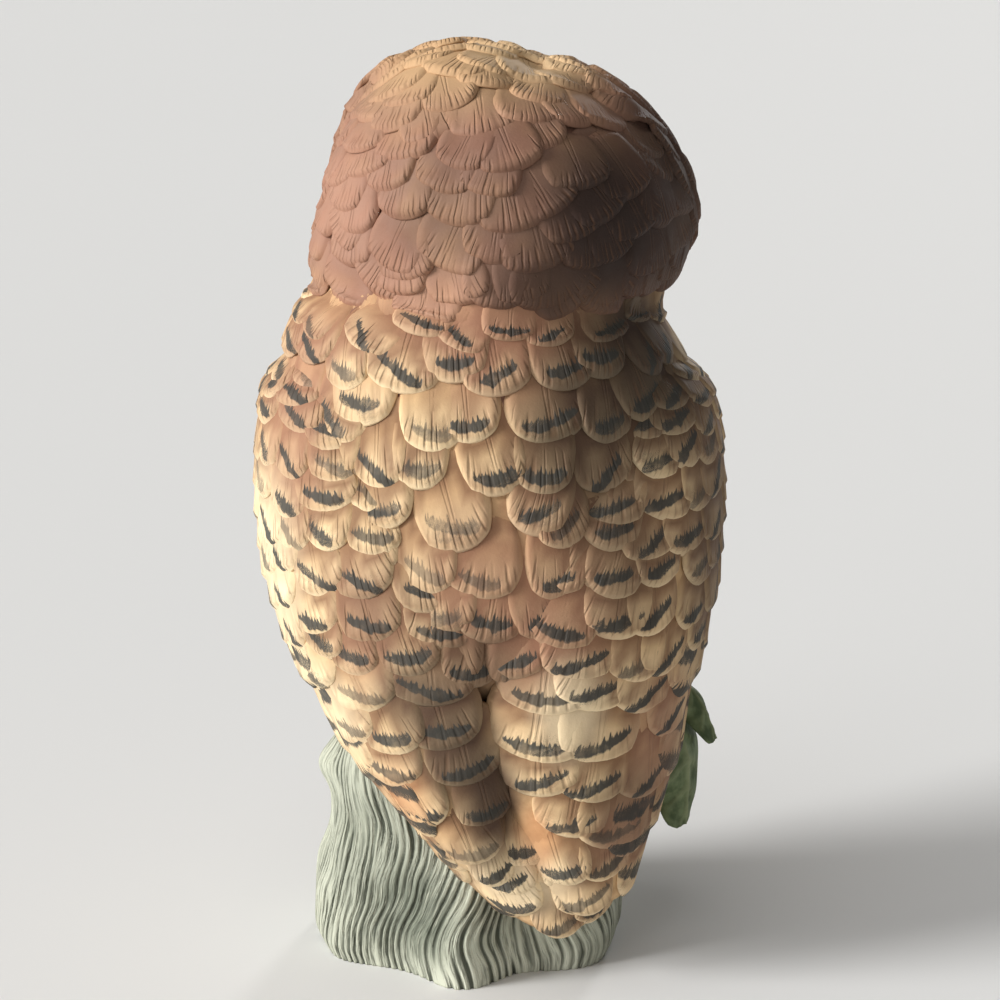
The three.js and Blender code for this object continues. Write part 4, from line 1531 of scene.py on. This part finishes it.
    def beak(self, colours):
        path = [(0, 33, 4), (0, 40.5, 0), (0, 45.5, -7), (0, 45.5, -14), (0, 42.5, -19)]
        radius = profile([(0, 6), (0.4, 5.4), (0.75, 3.8), (1, 0.6)])
        line = [head_point(a, b, c) for a, b, c in path]
        hook = tapered_bar("beak", line, radius, 24, 30, attribute="length")
        paint = Paint("beak_bisque")
        length = paint.attribute("length")
        grain = paint.noise(600.0, 3.0, stretch=(1.0, 1.0, 0.2))
        tint = paint.mix(length.step(0.55, 0.95), tuple(colours.beak), colour(96, 78, 52))
        tint = paint.mix(grain.step(0.45, 0.75) * 0.35, tint, GROOVE_BROWN)
        paint.bump(grain, 0.25)
        finish_piece(hook, paint.done(tint, grain.step(0.3, 0.7, 0.38, 0.5), 0.45))


class OWL_OT_feet(PieceOperator, bpy.types.Operator):
    """Feathered legs, scaled toes and claws over the stump's front rim"""

    bl_idname = "owl.feet"
    bl_label = "Feet"

    def make(self, sizes, colours):
        legs = []
        toes = []
        claws = []
        for side in (1, -1):
            path = [(side * 20 - 5, -20, 92), (side * 18 - 4, -22, 76), (side * 17 - 4, -20, 66)]
            legs.append(tapered_bar(f"leg_{side}", path, profile([(0, 17), (0.5, 14), (1, 8.5)]), 28, 14))
            for splay in (-26, 0, 26):
                toe, claw = self.toe(side, math.radians(splay))
                toes.append(toe)
                claws.append(claw)
        finish_piece(join("legs", legs), finish_of("down_bisque"))
        scaly = Paint("toe_bisque")
        length = scaly.attribute("length")
        rings = (length * 60.0).math("SINE").step(-0.4, 0.6)
        mottle = scaly.noise(260.0, 3.0)
        tint = scaly.mix(rings * 0.3 + 0.45, GROOVE_BROWN, colour(206, 176, 128))
        tint = scaly.mix(mottle.step(0.4, 0.7) * 0.3, tint, BUFF)
        scaly.bump(rings + mottle * 0.3, 0.5)
        finish_piece(join("toes", toes), scaly.done(tint, mottle.step(0.3, 0.7, 0.6, 0.75)))
        horn = Paint("claw_bisque")
        grain = horn.noise(500.0, 2.0)
        tint = horn.mix(grain, colour(46, 40, 36), colour(84, 72, 60))
        horn.bump(grain, 0.2)
        finish_piece(join("claws", claws), horn.done(tint, grain.step(0.3, 0.7, 0.4, 0.55), 0.45))

    def toe(self, side, splay):
        """One toe and its claw, turned outward by splay."""

        def reach(length, height):
            return (side * 17 - 4 + length * math.sin(splay), -20 - length * math.cos(splay), height)

        toe_path = [reach(0, 69), reach(9, 68), reach(17, 66.5), reach(20.5, 64)]
        girth = profile([(0, 4.6), (0.3, 4.2), (0.5, 4.6), (0.75, 4.1), (1, 2.6)])
        toe = tapered_bar("toe", toe_path, girth, 16, 20, attribute="length")
        claw_path = [reach(19, 65.5), reach(22, 63), reach(23.5, 57)]
        claw = tapered_bar("claw", claw_path, profile([(0, 2.3), (0.5, 1.8), (1, 0.4)]), 12, 10)
        return toe, claw


class OWL_OT_stump(PieceOperator, bpy.types.Operator):
    """Tree stump with wavy carved grain and a plain flat top"""

    bl_idname = "owl.stump"
    bl_label = "Stump"

    def make(self, sizes, colours):
        half_width = profile([(0, 41), (5, 43), (18, 43), (38, 38), (52, 37.5), (62, 35)])
        half_depth = profile([(0, 32), (18, 31.5), (38, 31), (52, 33), (62, 33)])
        centre_y = profile([(0, -8), (30, -6), (62, -5)])
        # Root flares: the angle of each, how far it stands out and how wide it is in degrees
        roots = [(2, 9, 14), (52, 4, 18), (-46, 6, 18), (150, 7, 22), (-140, 6, 20)]
        around = 640
        grooves = round(2 * math.pi * 40 / sizes.grain_pitch)
        levels = [0, 0.6] + [1.4 + 60.0 * i / 69 for i in range(70)] + [STUMP_TOP]
        rings = []
        marks = []
        fibres = []
        for height in levels:
            ring = []
            mark = []
            fibre = []
            fade = 1 - smooth(height, 4, 46)
            for j in range(around):
                base_angle = 360 * j / around
                turn = math.radians(base_angle)
                sway = 5 * math.sin(height / 11 + 2.5 * math.sin(turn + 0.6)) * smooth(height, 0, 20)
                angle = base_angle + sway
                flare = 0.0
                for place, reach, width in roots:
                    away = (angle - place + 540) % 360 - 180
                    flare += reach * math.exp(-((away / width) ** 2)) * fade
                knot = 3.5 * math.exp(-(((angle - KNOT_ANGLE) / 14) ** 2) - ((height - KNOT_HEIGHT) / 7) ** 2)
                spot = Vector((math.cos(turn) * 1.3, math.sin(turn) * 1.3, height / 26))
                wave = 4.6 * noise.noise(spot) + 1.4 * noise.noise(spot * 2.3 + Vector((9, 0, 0)))
                wave += 0.6 * noise.noise(Vector((spot.x * 5, spot.y * 5, height / 7)))
                phase = turn * grooves + wave * 2.2
                cut = 0.5 + 0.5 * math.sin(phase)
                depth = 0.62 + 1.0 * noise.noise(Vector((spot.x * 9, spot.y * 9, height / 18)))
                carve = -min(max(depth, 0.12), 1) * (1 - cut) ** 3.2 + 0.3 + 0.9 * noise.noise(spot * 2.5)
                edge = -3 * smooth(height, 59.5, STUMP_TOP)
                grow = flare + knot + carve + edge
                x = (half_width(height) + grow) * math.sin(math.radians(angle))
                y = centre_y(height) + (half_depth(height) + grow) * math.cos(math.radians(angle))
                ring.append(Vector((x, y, height)))
                mark.append((1 - cut) * min(max(depth, 0.1), 1))
                straight = phase / grooves
                fibre.append(Vector((math.cos(straight), math.sin(straight), height / 40)))
            rings.append(ring)
            marks.append(mark)
            fibres.append(fibre)
        for share in (0.8, 0.6, 0.4, 0.2):
            middle = Vector((0, centre_y(STUMP_TOP), STUMP_TOP))
            rings.append([middle + (p - middle) * share for p in rings[len(levels) - 1]])
            marks.append([0.3] * around)
            fibres.append([spot * share for spot in fibres[len(levels) - 1]])
        wood = solid_from_rings("stump_wood", rings, {"groove": marks, "fibre": fibres})
        paint = Paint("stump_bisque")
        groove = paint.attribute("groove")
        mottle = paint.noise(60.0, 4.0)
        along = paint.attribute("fibre", vector=True)
        fibre = paint.noise(30.0, 3.0, where=along, stretch=(1.0, 1.0, 0.1))
        hair = paint.noise(90.0, 2.0, where=along, stretch=(1.0, 1.0, 0.06))
        tint = paint.mix(mottle.step(0.4, 0.75) * 0.35, tuple(colours.stump), colour(128, 132, 112))
        tint = paint.spray(tint, STUMP_SPRAY)
        tint = paint.mix(groove.step(0.22, 0.7) * 0.9, tint, tuple(colours.stump_groove))
        tint = paint.mix(fibre.step(0.52, 0.66) * 0.6, tint, tuple(colours.stump_groove))
        tint = paint.mix(hair.step(0.55, 0.7) * 0.4, tint, colour(196, 196, 176))
        paint.bump(fibre.step(0.4, 0.66, 1.0, 0.0) + hair * 0.3 + paint.noise(1500.0, 2.0) * 0.12, 0.5)
        finish_piece(wood, paint.done(tint, mottle.step(0.3, 0.7, 0.72, 0.86)))


class OWL_OT_leaves(PieceOperator, bpy.types.Operator):
    """Lobed leaves with veins on the stump's right side"""

    bl_idname = "owl.leaves"
    bl_label = "Leaves"

    def make(self, sizes, colours):
        forms = (
            (
                [(-34, -6, 66), (-50, -4, 67), (-59.5, -2, 56), (-60, -1, 34)],
                {"face": (-1, 0.7, 0.35), "width": 25, "curl": 3, "lobes": 3, "end": 0.3},
            ),
            (
                [(-34, -12, 64), (-53, -12, 72), (-62.5, -9, 69), (-68.5, -7, 56.5)],
                {"face": (-0.5, 0.2, 1), "width": 14, "curl": 2, "lobes": 2, "end": 0.4},
            ),
            (
                [(-32, -22, 62), (-44, -32, 58), (-48, -38, 46), (-46, -40, 32)],
                {"face": (-0.7, -1, 0.3), "width": 20, "curl": 3, "lobes": 3, "end": 0.4},
            ),
        )
        blades = [self.leaf(i, path, **form) for i, (path, form) in enumerate(forms)]
        paint = Paint("leaf_bisque")
        vein = paint.attribute("vein")
        mottle = paint.noise(180.0, 4.0)
        tint = paint.mix(mottle.step(0.3, 0.65), tuple(colours.leaf), colour(74, 88, 58))
        tint = paint.mix(vein * 0.6, tint, colour(158, 164, 124))
        paint.bump(vein + mottle * 0.5 + paint.noise(1500.0, 2.0) * 0.2, 0.4)
        painted = paint.done(tint, mottle.step(0.3, 0.7, 0.66, 0.8))
        finish_piece(join("leaves", blades), painted)

    def leaf(self, number, path, face, width, curl, lobes, end):
        """One lobed blade along a path. face is the way it looks, and end its width at the tip."""
        steps = 48
        columns = 14
        line = curve_through(path, steps)
        rings = []
        marks = []
        for i, centre in enumerate(line):
            t = i / steps
            along = (line[min(i + 1, steps)] - line[max(i - 1, 0)]).normalized()
            across = along.cross(Vector(face)).normalized()
            out = across.cross(along).normalized()
            taper = blend(0.25, end, t)
            outline = taper + (1 - taper) * max(math.sin(math.pi * t), 0) ** 0.6
            lobe = math.cos(2 * math.pi * lobes * t)
            half = width / 2 * outline * (1 + 0.24 * lobe)
            top = []
            bottom = []
            vein_top = []
            for j in range(columns + 1):
                u = 2 * j / columns - 1
                drop = -curl * outline * abs(u) ** 1.6 + 1.6 * lobe * u * abs(u)
                rib = math.exp(-((u / 0.09) ** 2))
                ribs_aside = (abs(u) * 0.9 - t * 7 + 20) % 1 - 0.5
                side = math.exp(-((ribs_aside / 0.12) ** 2)) * (1 - abs(u)) ** 0.5
                thick = 1.2 * (1 - abs(u) ** 3 * 0.5)
                spot = centre + across * (u * half) + out * drop
                top.append(spot + out * (thick + 0.45 * rib + 0.3 * side))
                bottom.append(spot - out * thick)
                vein_top.append(max(rib, side * 0.8))
            rings.append(top + bottom[::-1])
            marks.append(vein_top + vein_top[::-1])
        return solid_from_rings(f"leaf_{number}", rings, {"vein": marks})


class OWL_OT_stage(PieceOperator, bpy.types.Operator):
    """Plain pale floor, soft light from the photo's left, and the camera"""

    bl_idname = "owl.stage"
    bl_label = "Stage"

    def make(self, sizes, colours):
        scene = bpy.context.scene
        scene.view_settings.view_transform = "Standard"
        mesh = bpy.data.meshes.new("floor")
        half = 12
        corners = [(-half, -half, 0), (half, -half, 0), (half, half, 0), (-half, half, 0)]
        mesh.from_pydata(corners, [], [(0, 1, 2, 3)])
        floor = bpy.data.objects.new("floor", mesh)
        scene.collection.objects.link(floor)
        paint = Paint("floor_paint")
        tone = tuple(colours.floor)
        shade = tuple(c * 0.99 for c in tone[:3]) + (1,)
        floor.data.materials.append(paint.done(paint.mix(paint.noise(0.8, 2.0), tone, shade), 0.9, 0.1))
        world = bpy.data.worlds.new("room")
        world.use_nodes = True
        sky = world.node_tree.nodes["Background"]
        sky.inputs["Color"].default_value = (1, 0.99, 0.975, 1)
        toward = world.node_tree.nodes.new("ShaderNodeTexCoord").outputs["Generated"]
        _, _, above = split(world.node_tree, toward)
        feed(world.node_tree, above.step(0.17, 0.28, 0.72, 0.1), sky.inputs["Strength"])
        scene.world = world
        for name, direction, strength, spread in (
            ("key", (0.90, 0.29, 0.32), 4.4, 20),
            ("low_fill", (0.6, 0.75, 0.12), 0.35, 20),
            ("overhead", (0.4, 0.3, 1.0), 1.0, 60),
            ("front_fill", (-0.35, -1.0, 0.4), 0.9, 10),
        ):
            light = bpy.data.lights.new(name, "SUN")
            light.energy = strength
            light.angle = math.radians(spread)
            lamp = bpy.data.objects.new(name, light)
            lamp.rotation_euler = Vector(direction).to_track_quat("Z", "Y").to_euler()
            scene.collection.objects.link(lamp)
        data = bpy.data.cameras.new("camera")
        data.lens = CAMERA_LENS
        data.sensor_width = 36
        data.clip_start = 0.01
        camera = bpy.data.objects.new("camera", data)
        camera.location = CAMERA_PLACE
        aim = Vector(CAMERA_TARGET) - Vector(CAMERA_PLACE)
        camera.rotation_euler = aim.to_track_quat("-Z", "Y").to_euler()
        scene.collection.objects.link(camera)
        scene.camera = camera


PIECES = (
    OWL_OT_torso,
    OWL_OT_wings,
    OWL_OT_tail,
    OWL_OT_head,
    OWL_OT_face,
    OWL_OT_feet,
    OWL_OT_stump,
    OWL_OT_leaves,
    OWL_OT_stage,
)


class OWL_PT_panel(bpy.types.Panel):
    """Lists the figurine's pieces, sizes and colours"""

    bl_idname = "OWL_PT_panel"
    bl_label = "Owl figurine"
    bl_space_type = "VIEW_3D"
    bl_region_type = "UI"
    bl_category = "Owl"

    def draw(self, context):
        for operator in PIECES:
            self.layout.operator(operator.bl_idname)
        for settings in (context.scene.owl_sizes, context.scene.owl_colours):
            box = self.layout.box()
            for name in settings.bl_rna.properties.keys():
                if name not in {"rna_type", "name"}:
                    box.prop(settings, name)


CLASSES = (OwlSizes, OwlColours, *PIECES, OWL_PT_panel)


def register():
    for part in CLASSES:
        bpy.utils.register_class(part)
    bpy.types.Scene.owl_sizes = bpy.props.PointerProperty(type=OwlSizes)
    bpy.types.Scene.owl_colours = bpy.props.PointerProperty(type=OwlColours)


def unregister():
    del bpy.types.Scene.owl_colours
    del bpy.types.Scene.owl_sizes
    for part in reversed(CLASSES):
        bpy.utils.unregister_class(part)


def main():
    register()
    for operator in PIECES:
        getattr(bpy.ops.owl, operator.bl_idname.split(".")[1])()
    blade = bpy.data.objects.get("feather_blade")
    if blade is not None:
        bpy.data.objects.remove(blade)


if __name__ == "__main__":
    main()
